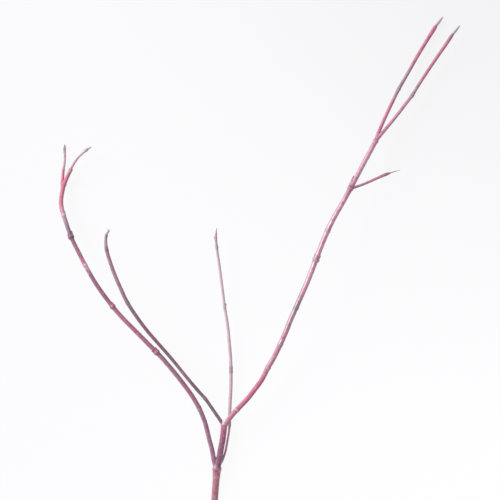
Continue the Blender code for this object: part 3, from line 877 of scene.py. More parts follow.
    def add_node_marks(self, bark: Bark, node: LeafNode, along: np.ndarray, turn: np.ndarray) -> None:
        """Adds a node's swelling, its scar ring and its side buds.

        Args:
            bark: The surface so far, which is changed.
            node: The leaf node.
            along: Distances along the shoot.
            turn: Turns about it in radians.
        """
        offset = along - self.place_of(node.point)
        bark.radius = bark.radius * (1 + (node.swell - 1) * bell(offset, self.swell_reach))
        dip = self.ring_dip * np.cos(2 * (turn - math.radians(node.roll)))
        ring = bell(offset + self.ring_place + dip, self.ring_width)
        # The scar's colour runs past its ridge, so that it still shows from a step away.
        wide_ring = bell(offset + self.ring_place + dip, self.ring_spread * self.ring_width)
        shade = bell(offset, self.shade_reach)
        bark.tint = mixed(bark.tint, paint(node.shade), shade * node.shade_strength)
        bark.tint = mixed(bark.tint, paint(node.ring), wide_ring * node.ring_strength)
        bark.cork = np.maximum(bark.cork, ring)
        bare = bark.radius
        bark.radius = bare + self.ring_height * ring
        for side in node.sides:
            rise = self.bud_rise(node, side, along, turn, bare)
            on_bud = smooth_step(rise, *self.bud_edge)
            darker = smooth_step(offset / node.bud_length, *self.bud_darkening)
            scales = mixed(np.tile(paint(Tint.BUD), (len(along), 1)), paint(Tint.SHADE), darker)
            bark.tint = mixed(bark.tint, scales, on_bud * self.bud_strength)
            bark.cork = np.maximum(bark.cork, self.bud_cork * on_bud)
            bark.radius = bark.radius + rise

    def add_lenticels(self, bark: Bark, along: np.ndarray, turn: np.ndarray) -> None:
        """Adds the small pale corky spots.

        Args:
            bark: The surface so far, which is changed.
            along: Distances along the shoot.
            turn: Turns about it in radians.
        """
        for place, way, half_length, half_width in self.lenticels:
            close = np.flatnonzero(np.abs(along - place) < half_length)
            aside = turned(turn[close], way) * bark.radius[close] / half_width
            ahead = (along[close] - place) / half_length
            lens = np.clip(1 - aside**2 - ahead**2, 0.0, 1.0)
            bark.radius[close] += self.lenticel_height * lens
            bark.cork[close] = np.maximum(bark.cork[close], lens)
            pale = self.lenticel_strength * smooth_step(lens, 0.0, self.lenticel_edge)
            bark.tint[close] = mixed(bark.tint[close], paint(Tint.LENTICEL), pale)


@dataclass
class BudGrowth:
    """An end bud worked out: two scales that meet in a slit down each side.

    Attributes:
        bud: What is grown.
        stem: The shoot that it ends.
        elbow: How far it keeps the shoot's heading, as a share of its reach.
        slit_depth: Depth of the slit between the scales, in millimetres.
        slit_width: Half its width.
        slit_start: Shares of the length between which it opens.
        slit_radius: Radius below which it grows shallower.
        slit_shade: How much painted shade darkens the slit and the ring over the foot.
        flatness: Share by which the bud is narrower across the slits.
        collar_height: Height of the scar round its foot.
        collar_place: Distance of that scar from the bud's start.
        collar_width: Half its width.
        shade_ring_place: Distance beyond that scar of a ring of painted shade, where no groove is cut.
        shade_ring_width: Half its width.
        middle_start: Shares of the length between which the scales' own colour comes in.
        tip_end: Share of the length where the tip's colour is full.
        cork: How dull the scales are.
        smoothing: Share of the length over which the widths are evened out.
        smoothing_steps: At how many places the widths are read for that.
    """

    bud: EndBud
    stem: Growth
    elbow: float = 0.4
    slit_depth: float = 0.11
    slit_width: float = 0.14
    slit_start: Span = (0.12, 0.3)
    slit_radius: float = 0.5
    slit_shade: float = 0.5
    flatness: float = 0.05
    collar_height: float = 0.14
    collar_place: float = 0.55
    collar_width: float = 0.25
    shade_ring_place: float = 0.4
    shade_ring_width: float = 0.2
    middle_start: Span = (0.05, 0.3)
    tip_end: float = 0.95
    cork: float = 0.8
    smoothing: float = 0.09
    smoothing_steps: int = 7
    line: Line = field(init=False)
    seed: int = field(init=False)

    def __post_init__(self) -> None:
        """Draws the middle line."""
        end = np.array([self.stem.line.length])
        heading = self.stem.line.sides(end)[0][0]
        foot = self.stem.line.at(end)[0]
        tip = foot + np.array(self.bud.reach)
        root = foot - heading * BUD_OVERLAP
        reach = float(np.linalg.norm(tip - root))
        self.line = Line.bent(root, root + heading * reach * self.elbow, tip)
        self.seed = self.stem.seed + BUD_SEED_SHIFT

    def bare_radius(self, along: np.ndarray) -> np.ndarray:
        """Works out the radius without the slits and the collar.

        Args:
            along: Distances along the bud.

        Returns:
            The radius at each, evened out along the bud.
        """
        shares, widths = zip(*self.bud.diameters)
        offsets = np.linspace(-self.smoothing, self.smoothing, self.smoothing_steps)
        share = along / self.line.length
        return np.mean([np.interp(share + offset, shares, widths) for offset in offsets], 0) / 2

    def bark(self, along: np.ndarray, turn: np.ndarray) -> Bark:
        """Works out the surface.

        Args:
            along: Distances along the bud in millimetres.
            turn: Turns about it in radians.

        Returns:
            The scales at each place.
        """
        share = along / self.line.length
        lobes = np.cos(2 * (turn - math.radians(self.bud.seam)))
        radius = self.bare_radius(along) * (1 - self.flatness * lobes)
        aside = np.minimum(
            np.abs(turned(turn, math.radians(self.bud.seam))),
            np.abs(turned(turn, math.radians(self.bud.seam) + math.pi)),
        ) * radius
        slit = bell(aside, self.slit_width) * smooth_step(share, *self.slit_start)
        slit = slit * np.clip(radius / self.slit_radius, 0.0, 1.0)
        collar = bell(along - self.collar_place, self.collar_width)
        shade_ring = bell(along - self.collar_place - self.shade_ring_place, self.shade_ring_width)
        tint = np.tile(paint(self.bud.base), (len(along), 1))
        tint = mixed(tint, paint(self.bud.middle), smooth_step(share, *self.middle_start))
        tint = mixed(tint, paint(self.bud.tip), smooth_step(share, self.bud.tip_start, self.tip_end))
        # Painted shade darkens the slits and a ring just past the collar.
        tint = mixed(tint, paint(Tint.SHADE), self.slit_shade * slit)
        tint = mixed(tint, paint(Tint.SHADE), self.slit_shade * shade_ring)
        radius = radius - self.slit_depth * slit + self.collar_height * collar
        return Bark(radius, tint, np.full(len(along), self.cork))


@dataclass
class Stretch:
    """The part of a growth that a piece holds, as a solid form.

    Attributes:
        growth: What it is part of.
        start: Where it starts along the growth, in millimetres.
        stop: Where it ends.
        end: How its ends stop.
        sink: How far its last bit draws in, to lie under the next piece.
    """

    growth: Grown
    start: float
    stop: float
    end: End = End.FLAT
    sink: float = 0.0

    def nearest(self, places: np.ndarray) -> np.ndarray:
        """Finds how far along the line each place lies, past either end too.

        Args:
            places: Points in millimetres.

        Returns:
            One distance along the line for each.
        """
        marks = np.append(np.arange(self.start, self.stop, HEADING_STEP), self.stop)
        spots = self.growth.line.at(marks)
        square = (spots**2).sum(1)[None]
        best = np.empty(len(places))
        for first in range(0, len(places), ROWS_AT_ONCE):
            some = places[first:first + ROWS_AT_ONCE]
            best[first:first + ROWS_AT_ONCE] = marks[(square - 2 * some @ spots.T).argmin(1)]
        heading, _, _ = self.growth.line.sides(best)
        return best + ((places - self.growth.line.at(best)) * heading).sum(1)

    def read(self, places: np.ndarray) -> tuple[np.ndarray, np.ndarray, np.ndarray, np.ndarray]:
        """Reads where places are on the shoot.

        Args:
            places: Points in millimetres.

        Returns:
            Distance along, turn about the line, the direction out from it and the distance out.
        """
        along = self.nearest(places)
        held = np.clip(along, self.start, self.stop)
        heading, level, upward = self.growth.line.sides(held)
        out = places - self.growth.line.at(held)
        if self.end is End.FLAT:
            out = out - heading * (out * heading).sum(1)[:, None]
        turn = np.arctan2((out * upward).sum(1), (out * level).sum(1))
        return along, turn, unit(out), np.linalg.norm(out, axis=1)

    def gap(self, places: np.ndarray) -> tuple[np.ndarray, np.ndarray]:
        """Measures how far places are outside the form.

        Args:
            places: Points in millimetres.

        Returns:
            The distance out of the surface, below 0 inside, and the way straight out.
        """
        along, turn, out, reach = self.read(places)
        held = np.clip(along, self.start, self.stop)
        radius = self.growth.bark(held, turn).radius
        # Over the last third of the overlap it lies all the way under.
        sinking = smooth_step(held, self.stop - JOINT_OVERLAP, self.stop - JOINT_OVERLAP / 3)
        gap = reach - radius + self.sink * sinking
        if self.end is End.ROUND:
            return gap, out
        over = np.maximum(self.start - along, along - self.stop)
        way = np.where(along < (self.start + self.stop) / 2, -1.0, 1.0)[:, None]
        beyond = way * self.growth.line.sides(held)[0]
        return np.maximum(gap, over), np.where((over > gap)[:, None], beyond, out)

    def tube(self, ring_step: float = 1.2, sides: int = 16) -> tuple[np.ndarray, Faces]:
        """Makes a plain closed tube of it, for the skin to start from.

        Args:
            ring_step: Distance between rings.
            sides: Corners in each ring.

        Returns:
            Corners and faces.
        """
        count = max(3, math.ceil((self.stop - self.start) / ring_step) + 1)
        marks = np.linspace(self.start, self.stop, count)
        _, level, upward = self.growth.line.sides(marks)
        turns = (np.arange(sides) * math.tau / sides)[None, :, None]
        out = np.cos(turns) * level[:, None] + np.sin(turns) * upward[:, None]
        radius = self.growth.bare_radius(marks)[:, None, None]
        corners = self.growth.line.at(marks)[:, None] + out * radius
        return corners.reshape(-1, 3), tube_faces(count, sides)


@dataclass
class Knuckle:
    """The rounded swelling where shoots part.

    Attributes:
        centre: Its middle in millimetres.
        width: Its diameter.
    """

    centre: np.ndarray
    width: float

    def gap(self, places: np.ndarray) -> tuple[np.ndarray, np.ndarray]:
        """Measures how far places are outside the knuckle.

        Args:
            places: Points in millimetres.

        Returns:
            The distance out of its surface and the way straight out.
        """
        out = places - self.centre
        return np.linalg.norm(out, axis=1) - self.width / 2, unit(out)

    def tube(self, rings: int = 9, sides: int = 16) -> tuple[np.ndarray, Faces]:
        """Makes a plain ball of it, for the skin to start from.

        Args:
            rings: Rings between its poles.
            sides: Corners in each ring.

        Returns:
            Corners and faces.
        """
        tilt = ((np.arange(rings) + 0.5) * math.pi / rings)[:, None]
        turns = (np.arange(sides) * math.tau / sides)[None]
        height = -np.cos(tilt) * np.ones_like(turns)
        out = np.stack([np.sin(tilt) * np.cos(turns), np.sin(tilt) * np.sin(turns), height], 2)
        return (self.centre + out * self.width / 2).reshape(-1, 3), tube_faces(rings, sides)


def tube_faces(rings: int, sides: int) -> Faces:
    """Joins rings of corners to a closed tube.

    Args:
        rings: How many rings there are.
        sides: Corners in each ring.

    Returns:
        The faces, with flat ends.
    """
    faces: Faces = [tuple(reversed(range(sides)))]
    for ring in range(rings - 1):
        for side in range(sides):
            low, beside = ring * sides + side, ring * sides + (side + 1) % sides
            faces.append((low, beside, beside + sides, low + sides))
    faces.append(tuple(range((rings - 1) * sides, rings * sides)))
    return faces


def grain_of(growth: Grown, along: np.ndarray, turn: np.ndarray, reach: np.ndarray) -> np.ndarray:
    """Finds each place's coordinates in the straightened shoot, for patterns that follow it.

    Args:
        growth: The shoot.
        along: Distances along it.
        turn: Turns about it in radians.
        reach: Distances out from its middle line.

    Returns:
        Two coordinates across the shoot and one along it, in millimetres.
    """
    shift = growth.seed * GRAIN_SHIFT_MM
    return np.stack([reach * np.cos(turn), reach * np.sin(turn), along + shift], 1)


@dataclass
class Skin:
    """One smooth surface over forms that grow together.

    Attributes:
        forms: The stretches and knuckles.
        grain: Size of the surface's faces in millimetres.
        blend: How softly the forms run into each other.
        rounds: How often the corners are evened out and laid back on the surface.
        evening: How far each corner moves to the middle of its neighbours for that.
        least_slope: Least steepness that a step back to the surface is worked out with.
        reach: Distance beyond which a form no longer matters.
        mark_blend: How softly the marks of two forms run into each other.
        least_share: Share below which a form's marks are left out.
    """

    forms: list[Stretch | Knuckle]
    grain: float = SKIN_GRAIN
    blend: float = 0.7
    rounds: int = 4
    evening: float = 0.5
    least_slope: float = 0.3
    reach: float = 4.0
    mark_blend: float = 0.25
    least_share: float = 1e-3

    def close_gap(self, form: Stretch | Knuckle, places: np.ndarray) -> tuple[np.ndarray, np.ndarray]:
        """Measures places against one form, and leaves out those that are far from it.

        Args:
            form: The form.
            places: Points in millimetres.

        Returns:
            The distance out of the form and the way out.
        """
        corners = form.tube()[0]
        near = ((places > corners.min(0) - self.reach) & (places < corners.max(0) + self.reach)).all(1)
        gap, out = np.full(len(places), 10 * self.reach), np.zeros_like(places)
        if near.any():
            gap[near], out[near] = form.gap(places[near])
        return gap, out

    def gap(self, places: np.ndarray) -> tuple[np.ndarray, np.ndarray]:
        """Measures how far places are outside the blended forms.

        Args:
            places: Points in millimetres.

        Returns:
            The distance and the way out.
        """
        gap, out = self.close_gap(self.forms[0], places)
        for form in self.forms[1:]:
            other, way = self.close_gap(form, places)
            share = np.clip(0.5 + 0.5 * (gap - other) / self.blend, 0.0, 1.0)
            gap = gap + (other - gap) * share - self.blend * share * (1 - share)
            out = mixed(out, way, share)
        return gap, out

    def raw(self) -> tuple[np.ndarray, np.ndarray, Faces]:
        """Wraps the forms with even faces.

        Returns:
            Corners in millimetres, edges and faces of the wrapped surface.
        """
        corners: list[np.ndarray] = []
        faces: Faces = []
        for form in self.forms:
            start = sum(len(group) for group in corners)
            some, sheets = form.tube()
            corners.append(some)
            faces += [tuple(start + index for index in sheet) for sheet in sheets]
        mesh = bpy.data.meshes.new("wrap")
        mesh.from_pydata(np.vstack(corners).tolist(), [], faces)
        guide = bpy.data.objects.new("wrap", mesh)
        bpy.context.scene.collection.objects.link(guide)
        wrap = guide.modifiers.new("wrap", "REMESH")
        wrap.mode = "VOXEL"
        wrap.voxel_size = self.grain
        graph = bpy.context.evaluated_depsgraph_get()
        wrapped = bpy.data.meshes.new_from_object(guide.evaluated_get(graph))
        places = np.empty(len(wrapped.vertices) * 3, np.float32)
        wrapped.vertices.foreach_get("co", places)
        edges = np.empty(len(wrapped.edges) * 2, np.int32)
        wrapped.edges.foreach_get("vertices", edges)
        sheets = [tuple(face.vertices) for face in wrapped.polygons]
        bpy.data.objects.remove(guide)
        bpy.data.meshes.remove(mesh)
        bpy.data.meshes.remove(wrapped)
        return places.reshape(-1, 3).astype(float), edges.reshape(-1, 2), sheets

    def settle(self, places: np.ndarray) -> np.ndarray:
        """Lays places on the blended surface.

        Args:
            places: Points near it.

        Returns:
            The points on it.
        """
        gap, out = self.gap(places)
        steepness = np.maximum((out**2).sum(1), self.least_slope)
        move = np.clip(gap, -self.grain, self.grain) / steepness
        return places - out * move[:, None]

    def mesh(self, name: str) -> bpy.types.Mesh:
        """Makes the finished surface.

        Args:
            name: The mesh's name.

        Returns:
            The mesh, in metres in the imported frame, with its marks.
        """
        places, edges, sheets = self.raw()
        counts = np.bincount(edges.ravel(), minlength=len(places))[:, None]
        for _ in range(self.rounds):
            places = self.settle(self.settle(places))
            around = np.zeros_like(places)
            np.add.at(around, edges[:, 0], places[edges[:, 1]])
            np.add.at(around, edges[:, 1], places[edges[:, 0]])
            places = (1 - self.evening) * places + self.evening * around / counts
        places = self.settle(self.settle(places))
        return finished_mesh(name, places, sheets, *self.marks(places))

    def marks(self, places: np.ndarray) -> tuple[np.ndarray, np.ndarray, np.ndarray]:
        """Reads the bark's marks off the forms.

        Args:
            places: Points on the surface.

        Returns:
            Tint, cork and grain at each point.
        """
        stretches = [form for form in self.forms if isinstance(form, Stretch)]
        gaps = np.stack([self.close_gap(form, places)[0] for form in stretches], 1)
        weights = np.exp(-(gaps - gaps.min(1)[:, None]) / self.mark_blend)
        weights /= weights.sum(1)[:, None]
        tint = np.zeros((len(places), 4))
        cork = np.zeros(len(places))
        grain = np.zeros((len(places), 3))
        for index, form in enumerate(stretches):
            near = np.flatnonzero(weights[:, index] > self.least_share)
            along, turn, _, reach = form.read(places[near])
            bark = form.growth.bark(along, turn)
            tint[near] += bark.tint * weights[near, index:index + 1]
            cork[near] += bark.cork * weights[near, index]
            mine = gaps[near].argmin(1) == index
            grain[near[mine]] = grain_of(form.growth, along, turn, reach)[mine]
        return tint, cork, grain


def tube_mesh(name: str, growth: Grown, start: float = 0.0, ring_step: float = RING_STEP,
              blunt: float = 0.6) -> bpy.types.Mesh:
    """Makes the surface of a plain shoot or bud, with a rounded far end.

    Args:
        name: The mesh's name.
        growth: The shoot or bud.
        start: Where the piece starts along it.
        ring_step: Distance between rings.
        blunt: Length of the rounding at its end, as a share of the radius there.

    Returns:
        The mesh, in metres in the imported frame, with its marks.
    """
    stop = growth.line.length
    count = math.ceil((stop - start) / ring_step) + 1
    marks = np.linspace(start, stop, count)
    turns = np.arange(TUBE_SIDES) * math.tau / TUBE_SIDES
    along, turn = np.repeat(marks, TUBE_SIDES), np.tile(turns, count)
    bark = growth.bark(along, turn)
    rounding = blunt * growth.bare_radius(np.array([stop]))[0]
    inward = np.clip((along - stop) / rounding + 1, 0.0, END_CLOSING)
    radius = (bark.radius + JOINT_PROUD) * np.sqrt(1 - inward**2)
    _, level, upward = growth.line.sides(along)
    out = np.cos(turn)[:, None] * level + np.sin(turn)[:, None] * upward
    places = growth.line.at(along) + out * radius[:, None]
    grain = grain_of(growth, along, turn, radius)
    return finished_mesh(name, places, tube_faces(count, TUBE_SIDES), bark.tint, bark.cork, grain)


def cut_end_place(stem: bpy.types.Object, depth: float = 1.0) -> np.ndarray:
    """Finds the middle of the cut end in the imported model.

    Args:
        stem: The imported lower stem.
        depth: How far behind the foremost corner the end's other corners may lie, in millimetres.

    Returns:
        The point in metres.
    """
    corners = np.array([vertex.co for vertex in stem.data.vertices])
    end = corners[corners[:, 1] < corners[:, 1].min() + depth * MM]
    return np.unique(end.round(6), axis=0).mean(0)


HOME = cut_end_place(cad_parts["lower_stem"]) - np.array(LOWER_STEM.route[0]) * MM


def finished_mesh(name: str, places: np.ndarray, faces: Faces, tint: np.ndarray,
                  cork: np.ndarray, grain: np.ndarray) -> bpy.types.Mesh:
    """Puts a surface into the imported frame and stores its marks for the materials.

    Args:
        name: The mesh's name.
        places: Corners in millimetres.
        faces: Its faces.
        tint: Linear colour of each corner.
        cork: Corkiness of each corner.
        grain: Each corner's place in the straightened shoot, in millimetres.

    Returns:
        The mesh in metres.
    """
    mesh = bpy.data.meshes.new(name)
    mesh.from_pydata((places * MM + HOME).tolist(), [], faces)
    layers = (
        ("FLOAT_COLOR", "tint", "color", tint),
        ("FLOAT", "cork", "value", cork),
        ("FLOAT_VECTOR", "grain", "vector", grain),
    )
    for kind, label, key, values in layers:
        layer = mesh.attributes.new(label, kind, "POINT")
        layer.data.foreach_set(key, np.ascontiguousarray(values, np.float32).ravel())
    mesh.shade_smooth()
    mesh.set_sharp_from_angle(angle=SHARP_ANGLE)
    return mesh


def add_node(tree: bpy.types.NodeTree, kind: str, inputs: Mapping[str | int, Any] | None = None,
             **settings: Any) -> bpy.types.Node:
    """Adds a shader node.

    Args:
        tree: The material's node tree.
        kind: The node's type.
        inputs: A value, or an output to link from, for each input.
        **settings: The node's own properties.

    Returns:
        The node.
    """
    node = tree.nodes.new(kind)
    for key, value in settings.items():
        setattr(node, key, value)
    for key, value in (inputs or {}).items():
        if isinstance(value, bpy.types.NodeSocket):
            tree.links.new(value, node.inputs[key])
        else:
            node.inputs[key].default_value = value
    return node


def new_tree(name: str) -> tuple[bpy.types.Material, bpy.types.NodeTree, bpy.types.Node]:
    """Starts a material.

    Args:
        name: Its name.

    Returns:
        The material, its node tree and its shader.
    """
    material = bpy.data.materials.new(name)
    material.use_nodes = True
    return material, material.node_tree, material.node_tree.nodes["Principled BSDF"]


@dataclass(frozen=True)
class Layer:
    """Spots of one colour in a surface.

    Attributes:
        colour: The spots' colour.
        width_mm: Width of a spot across the shoot.
        length_mm: Length of a spot along it.
        low: Level of the noise where a spot starts.
        high: Level where it is strongest.
        most: How strongly it shows there.
        detail: How ragged its edge is.
        on_cork: Whether it shows on scars and buds too.
        grit: How much of the noise is in its finer waves.
    """

    colour: str
    width_mm: float
    length_mm: float
    low: float
    high: float
    most: float
    detail: float = 2.0
    on_cork: bool = False
    grit: float = 0.55

    def lay(self, tree: bpy.types.NodeTree, base: bpy.types.NodeSocket,
            number: int) -> tuple[bpy.types.NodeSocket, bpy.types.NodeSocket]:
        """Lays the spots over a colour.

        Args:
            tree: The material's node tree.
            base: The colour below.
            number: Which layer it is, so that no two share their spots.

        Returns:
            The new colour and the noise that the spots come from.
        """
        grain = add_node(tree, "ShaderNodeAttribute", attribute_name="grain")
        cork = add_node(tree, "ShaderNodeAttribute", attribute_name="cork")
        shift = LAYER_SHIFT * number
        place = add_node(tree, "ShaderNodeMapping", {
            "Vector": grain.outputs["Vector"],
            "Scale": (1 / self.width_mm, 1 / self.width_mm, 1 / self.length_mm),
            "Location": (shift, shift, shift),
        })
        noise = add_node(tree, "ShaderNodeTexNoise", {
            "Vector": place.outputs["Vector"], "Scale": 1.0, "Detail": self.detail,
            "Roughness": self.grit,
        })
        spots = add_node(tree, "ShaderNodeMapRange", {
            "Value": noise.outputs["Fac"], "From Min": self.low, "From Max": self.high,
            "To Min": 0.0, "To Max": self.most,
        }, interpolation_type="SMOOTHSTEP")
        bare = add_node(tree, "ShaderNodeMath", {
            0: 1.0, 1: 0.0 if self.on_cork else cork.outputs["Fac"],
        }, operation="SUBTRACT")
        share = add_node(tree, "ShaderNodeMath", {
            0: spots.outputs["Result"], 1: bare.outputs["Value"],
        }, operation="MULTIPLY")
        # Inputs 6 and 7 and output 2 of a colour mix are its colours.
        mix = add_node(tree, "ShaderNodeMix", {
            "Factor": share.outputs["Value"], 6: base, 7: linear(self.colour),
        }, data_type="RGBA")
        return mix.outputs[2], noise.outputs["Fac"]


@dataclass(frozen=True)
class Finish:
    """A surface that takes its colour from the mesh, with layers of spots laid over it.

    Attributes:
        name: The material's name.
        layers: Its spots, from the lowest layer up.
        roughness: Roughness of the plain surface.
        ior: Its refraction.
        relief_mm: Height of its fine relief.
        shading: How strongly that relief shades.
        wear: Least and greatest change of roughness from place to place.
        down: How much light its down catches.
    """

    name: str
    layers: tuple[Layer, ...]
    roughness: float
    ior: float
    relief_mm: float
    shading: float = 0.6
    wear: Span = (-0.1, 0.1)
    down: float = 0.0

    def make(self) -> bpy.types.Material:
        """Builds the material, which reads the mesh's tint, cork and grain."""
        material, tree, shader = new_tree(self.name)
        tint = add_node(tree, "ShaderNodeAttribute", attribute_name="tint")
        colour = tint.outputs["Color"]
        noises = []
        for number, layer in enumerate(self.layers):
            colour, noise = layer.lay(tree, colour, number)
            noises.append(noise)
        bump = add_node(tree, "ShaderNodeBump", {
            "Height": self.height(tree, noises), "Strength": self.shading,
            "Distance": self.relief_mm * MM,
        })
        tree.links.new(colour, shader.inputs["Base Color"])
        tree.links.new(self.rough(tree, noises), shader.inputs["Roughness"])
        tree.links.new(bump.outputs["Normal"], shader.inputs["Normal"])
        shader.inputs["IOR"].default_value = self.ior
        shader.inputs["Sheen Weight"].default_value = self.down
        return material

    def height(self, tree: bpy.types.NodeTree,
               noises: Sequence[bpy.types.NodeSocket]) -> bpy.types.NodeSocket:
        """The height of the fine relief: the top layer's noise."""
        return noises[-1]

    def rough(self, tree: bpy.types.NodeTree,
              noises: Sequence[bpy.types.NodeSocket]) -> bpy.types.NodeSocket:
        """Works out the roughness from the top layer's noise.

        Args:
            tree: The material's node tree.
            noises: The layers' noises.

        Returns:
            The roughness.
        """
        rough = add_node(tree, "ShaderNodeMapRange", {
            "Value": noises[-1], "To Min": self.roughness + self.wear[0],
            "To Max": self.roughness + self.wear[1],
        })
        return rough.outputs["Result"]


@dataclass(frozen=True)
class BarkFinish(Finish):
    """Smooth living shrub bark: thin waxy skin over red tissue, as grown.

    To the eye it is a satin surface with a soft highlight along each shoot. Redder and
    greyer stretches follow one another every few millimetres, fine lines run lengthwise,
    and scars and lenticels are pale and dull. Its layers are red tissue, grey wax, fine
    lines and pores, the last two drawn about four times too coarse so that they show.

    Attributes:
        cork_roughness: Roughness of scars and lenticels.
        worn_levels: Levels of the wax's noise between which it is worn duller.
    """

    name: str = "dogwood_bark_waxy_as_grown"
    layers: tuple[Layer, ...] = (
        Layer("8E3A62", 1.6, 3.0, 0.5, 0.68, 0.5),
        Layer("A79CA6", 2.1, 5.0, 0.52, 0.72, 0.35, 3.0),
        Layer("5E3A4C", 0.4, 7.0, 0.56, 0.72, 0.3, 1.0),
        Layer("D9B9C4", 0.35, 0.8, 0.6, 0.75, 0.2),
    )
    roughness: float = 0.34
    ior: float = 1.47
    relief_mm: float = 0.05
    shading: float = 0.4
    wear: Span = (-0.04, 0.12)
    cork_roughness: float = 0.75
    worn_levels: Span = (0.4, 0.7)

    def height(self, tree: bpy.types.NodeTree,
               noises: Sequence[bpy.types.NodeSocket]) -> bpy.types.NodeSocket:
        """The height of the fine lines and of the pores, added up."""
        relief = add_node(tree, "ShaderNodeMath", {0: noises[-2], 1: noises[-1]}, operation="ADD")
        return relief.outputs["Value"]

    def rough(self, tree: bpy.types.NodeTree,
              noises: Sequence[bpy.types.NodeSocket]) -> bpy.types.NodeSocket:
        """Works out the roughness from the cork and the wear of the wax.

        Args:
            tree: The material's node tree.
            noises: The layers' noises.

        Returns:
            The roughness.
        """
        cork = add_node(tree, "ShaderNodeAttribute", attribute_name="cork")
        dull = add_node(tree, "ShaderNodeMapRange", {
            "Value": cork.outputs["Fac"], "To Min": self.roughness, "To Max": self.cork_roughness,
        })
        worn = add_node(tree, "ShaderNodeMapRange", {
            "Value": noises[1], "From Min": self.worn_levels[0], "From Max": self.worn_levels[1],
            "To Min": self.wear[0], "To Max": self.wear[1],
        })
        rough = add_node(tree, "ShaderNodeMath", {
            0: dull.outputs["Result"], 1: worn.outputs["Result"],
        }, operation="ADD")
        return rough.outputs["Value"]


@dataclass(frozen=True)
class BudFinish(Finish):
    """Bud scales of the same shrub: dry thin scales under short pale down, as grown.

    To the eye they are grey-brown and dull, with a soft pale edge where the down catches
    the light, and darker in the slits. Their layers are brown scale under the down, and
    the down's own fine lines, drawn three times too coarse so that they show.
    """

    name: str = "bud_scales_downy_as_grown"
    layers: tuple[Layer, ...] = (
        Layer("6E5560", 0.7, 1.6, 0.52, 0.7, 0.5, 3.0, True),
        Layer("CFC4C9", 0.2, 1.8, 0.55, 0.7, 0.45, 1.0, True),
    )
    roughness: float = 0.7
    ior: float = 1.45
    relief_mm: float = 0.05
    wear: Span = (-0.1, 0.15)
    down: float = 0.35


@dataclass(frozen=True)
class CutWoodFinish(Finish):
    """Fresh shrub wood, cut square with secateurs: pale, damp and faintly ringed.

    To the eye it is a cream disc with a brownish pith, one year's ring and a green line
    under the bark, and the blade has left fine lines all one way. Its layers are pores
    of the wood, drawn twice too coarse so that they show, and the blade's lines.
    """

    name: str = "dogwood_heart_secateur_cut"
    layers: tuple[Layer, ...] = (
        Layer("B79B78", 0.12, 0.12, 0.56, 0.7, 0.5, 2.0, True),
        Layer("F2E6CC", 0.25, 2.0, 0.5, 0.7, 0.4, 1.0, True),
    )
    roughness: float = 0.6
    ior: float = 1.45
    relief_mm: float = 0.04


# The pale shoot's bark is younger: less red shows through, and the wax is whiter.
YOUNG_BARK = BarkFinish(
    name="dogwood_bark_young_waxy_as_grown",
    layers=(
        Layer("B57A90", 1.3, 3.0, 0.5, 0.7, 0.45),
        Layer("D8D0D6", 1.8, 5.0, 0.52, 0.72, 0.35, 3.0),
        Layer("7A5F6C", 0.4, 7.0, 0.56, 0.72, 0.25, 1.0),
        Layer("EEDCE3", 0.35, 0.6, 0.6, 0.75, 0.3),
    ),
    roughness=0.45,
)


@dataclass(frozen=True)
class FloorFinish:
    """White acrylic sheet, moulded and lit from below, on which shadows all but vanish.

    To the eye it is an even near-white ground that greys a little towards the far right.

    Attributes:
        name: The material's name.
        colour: The sheet's own colour, dark so that it takes little of the lamp's light.
        roughness: Roughness of its matt face.
        glow: Colour of the light from below.
        dim_spot: Where that light is weakest, in metres from the middle of the picture:
            beyond its far right corner.
        dim_reach: How far from there it grows, in metres.
        strength: Its strength there and beyond that reach.
        tilt_way: The way across the sheet that it grows slightly.
        tilt_reach: How far it does so either way, in metres.
        tilt_strength: By how much.
    """

    name: str = "white_acrylic_moulded_and_backlit"
    colour: str = "464648"
    roughness: float = 0.9
    glow: str = "FEFEFF"
    dim_spot: Point = (0.3, 0.3, 0.0)
    dim_reach: float = 0.5
    strength: Span = (0.826, 0.922)
    tilt_way: Point = (1.0, -1.0, 0.0)
    tilt_reach: float = 0.4
    tilt_strength: float = 0.03

    def make(self) -> bpy.types.Material:
        """Builds the material."""
        material, tree, shader = new_tree(self.name)
        shader.inputs["Base Color"].default_value = linear(self.colour)
        shader.inputs["Roughness"].default_value = self.roughness
        shader.inputs["Specular IOR Level"].default_value = 0.0
        shader.inputs["Emission Color"].default_value = linear(self.glow)
        place = add_node(tree, "ShaderNodeTexCoord")
        apart = add_node(tree, "ShaderNodeVectorMath", {
            0: place.outputs["Object"], 1: self.dim_spot,
        }, operation="DISTANCE")
        spot = add_node(tree, "ShaderNodeMapRange", {
            "Value": apart.outputs["Value"], "From Min": 0.0, "From Max": self.dim_reach,
            "To Min": self.strength[0], "To Max": self.strength[1],
        }, interpolation_type="SMOOTHSTEP")
        across = add_node(tree, "ShaderNodeVectorMath", {
            0: place.outputs["Object"], 1: self.tilt_way,
        }, operation="DOT_PRODUCT")
        tilt = add_node(tree, "ShaderNodeMapRange", {
            "Value": across.outputs["Value"],
            "From Min": -self.tilt_reach, "From Max": self.tilt_reach,
            "To Min": -self.tilt_strength, "To Max": self.tilt_strength,
        })
        glow = add_node(tree, "ShaderNodeMath", {
            0: spot.outputs["Result"], 1: tilt.outputs["Result"],
        }, operation="ADD")
        tree.links.new(glow.outputs["Value"], shader.inputs["Emission Strength"])
        return material


@dataclass
class Finishes:
    """The materials that the sub-assemblies share."""

    bark: bpy.types.Material = field(default_factory=lambda: BarkFinish().make())
    young_bark: bpy.types.Material = field(default_factory=lambda: YOUNG_BARK.make())
    bud_scale: bpy.types.Material = field(default_factory=lambda: BudFinish().make())
    cut_wood: bpy.types.Material = field(default_factory=lambda: CutWoodFinish().make())


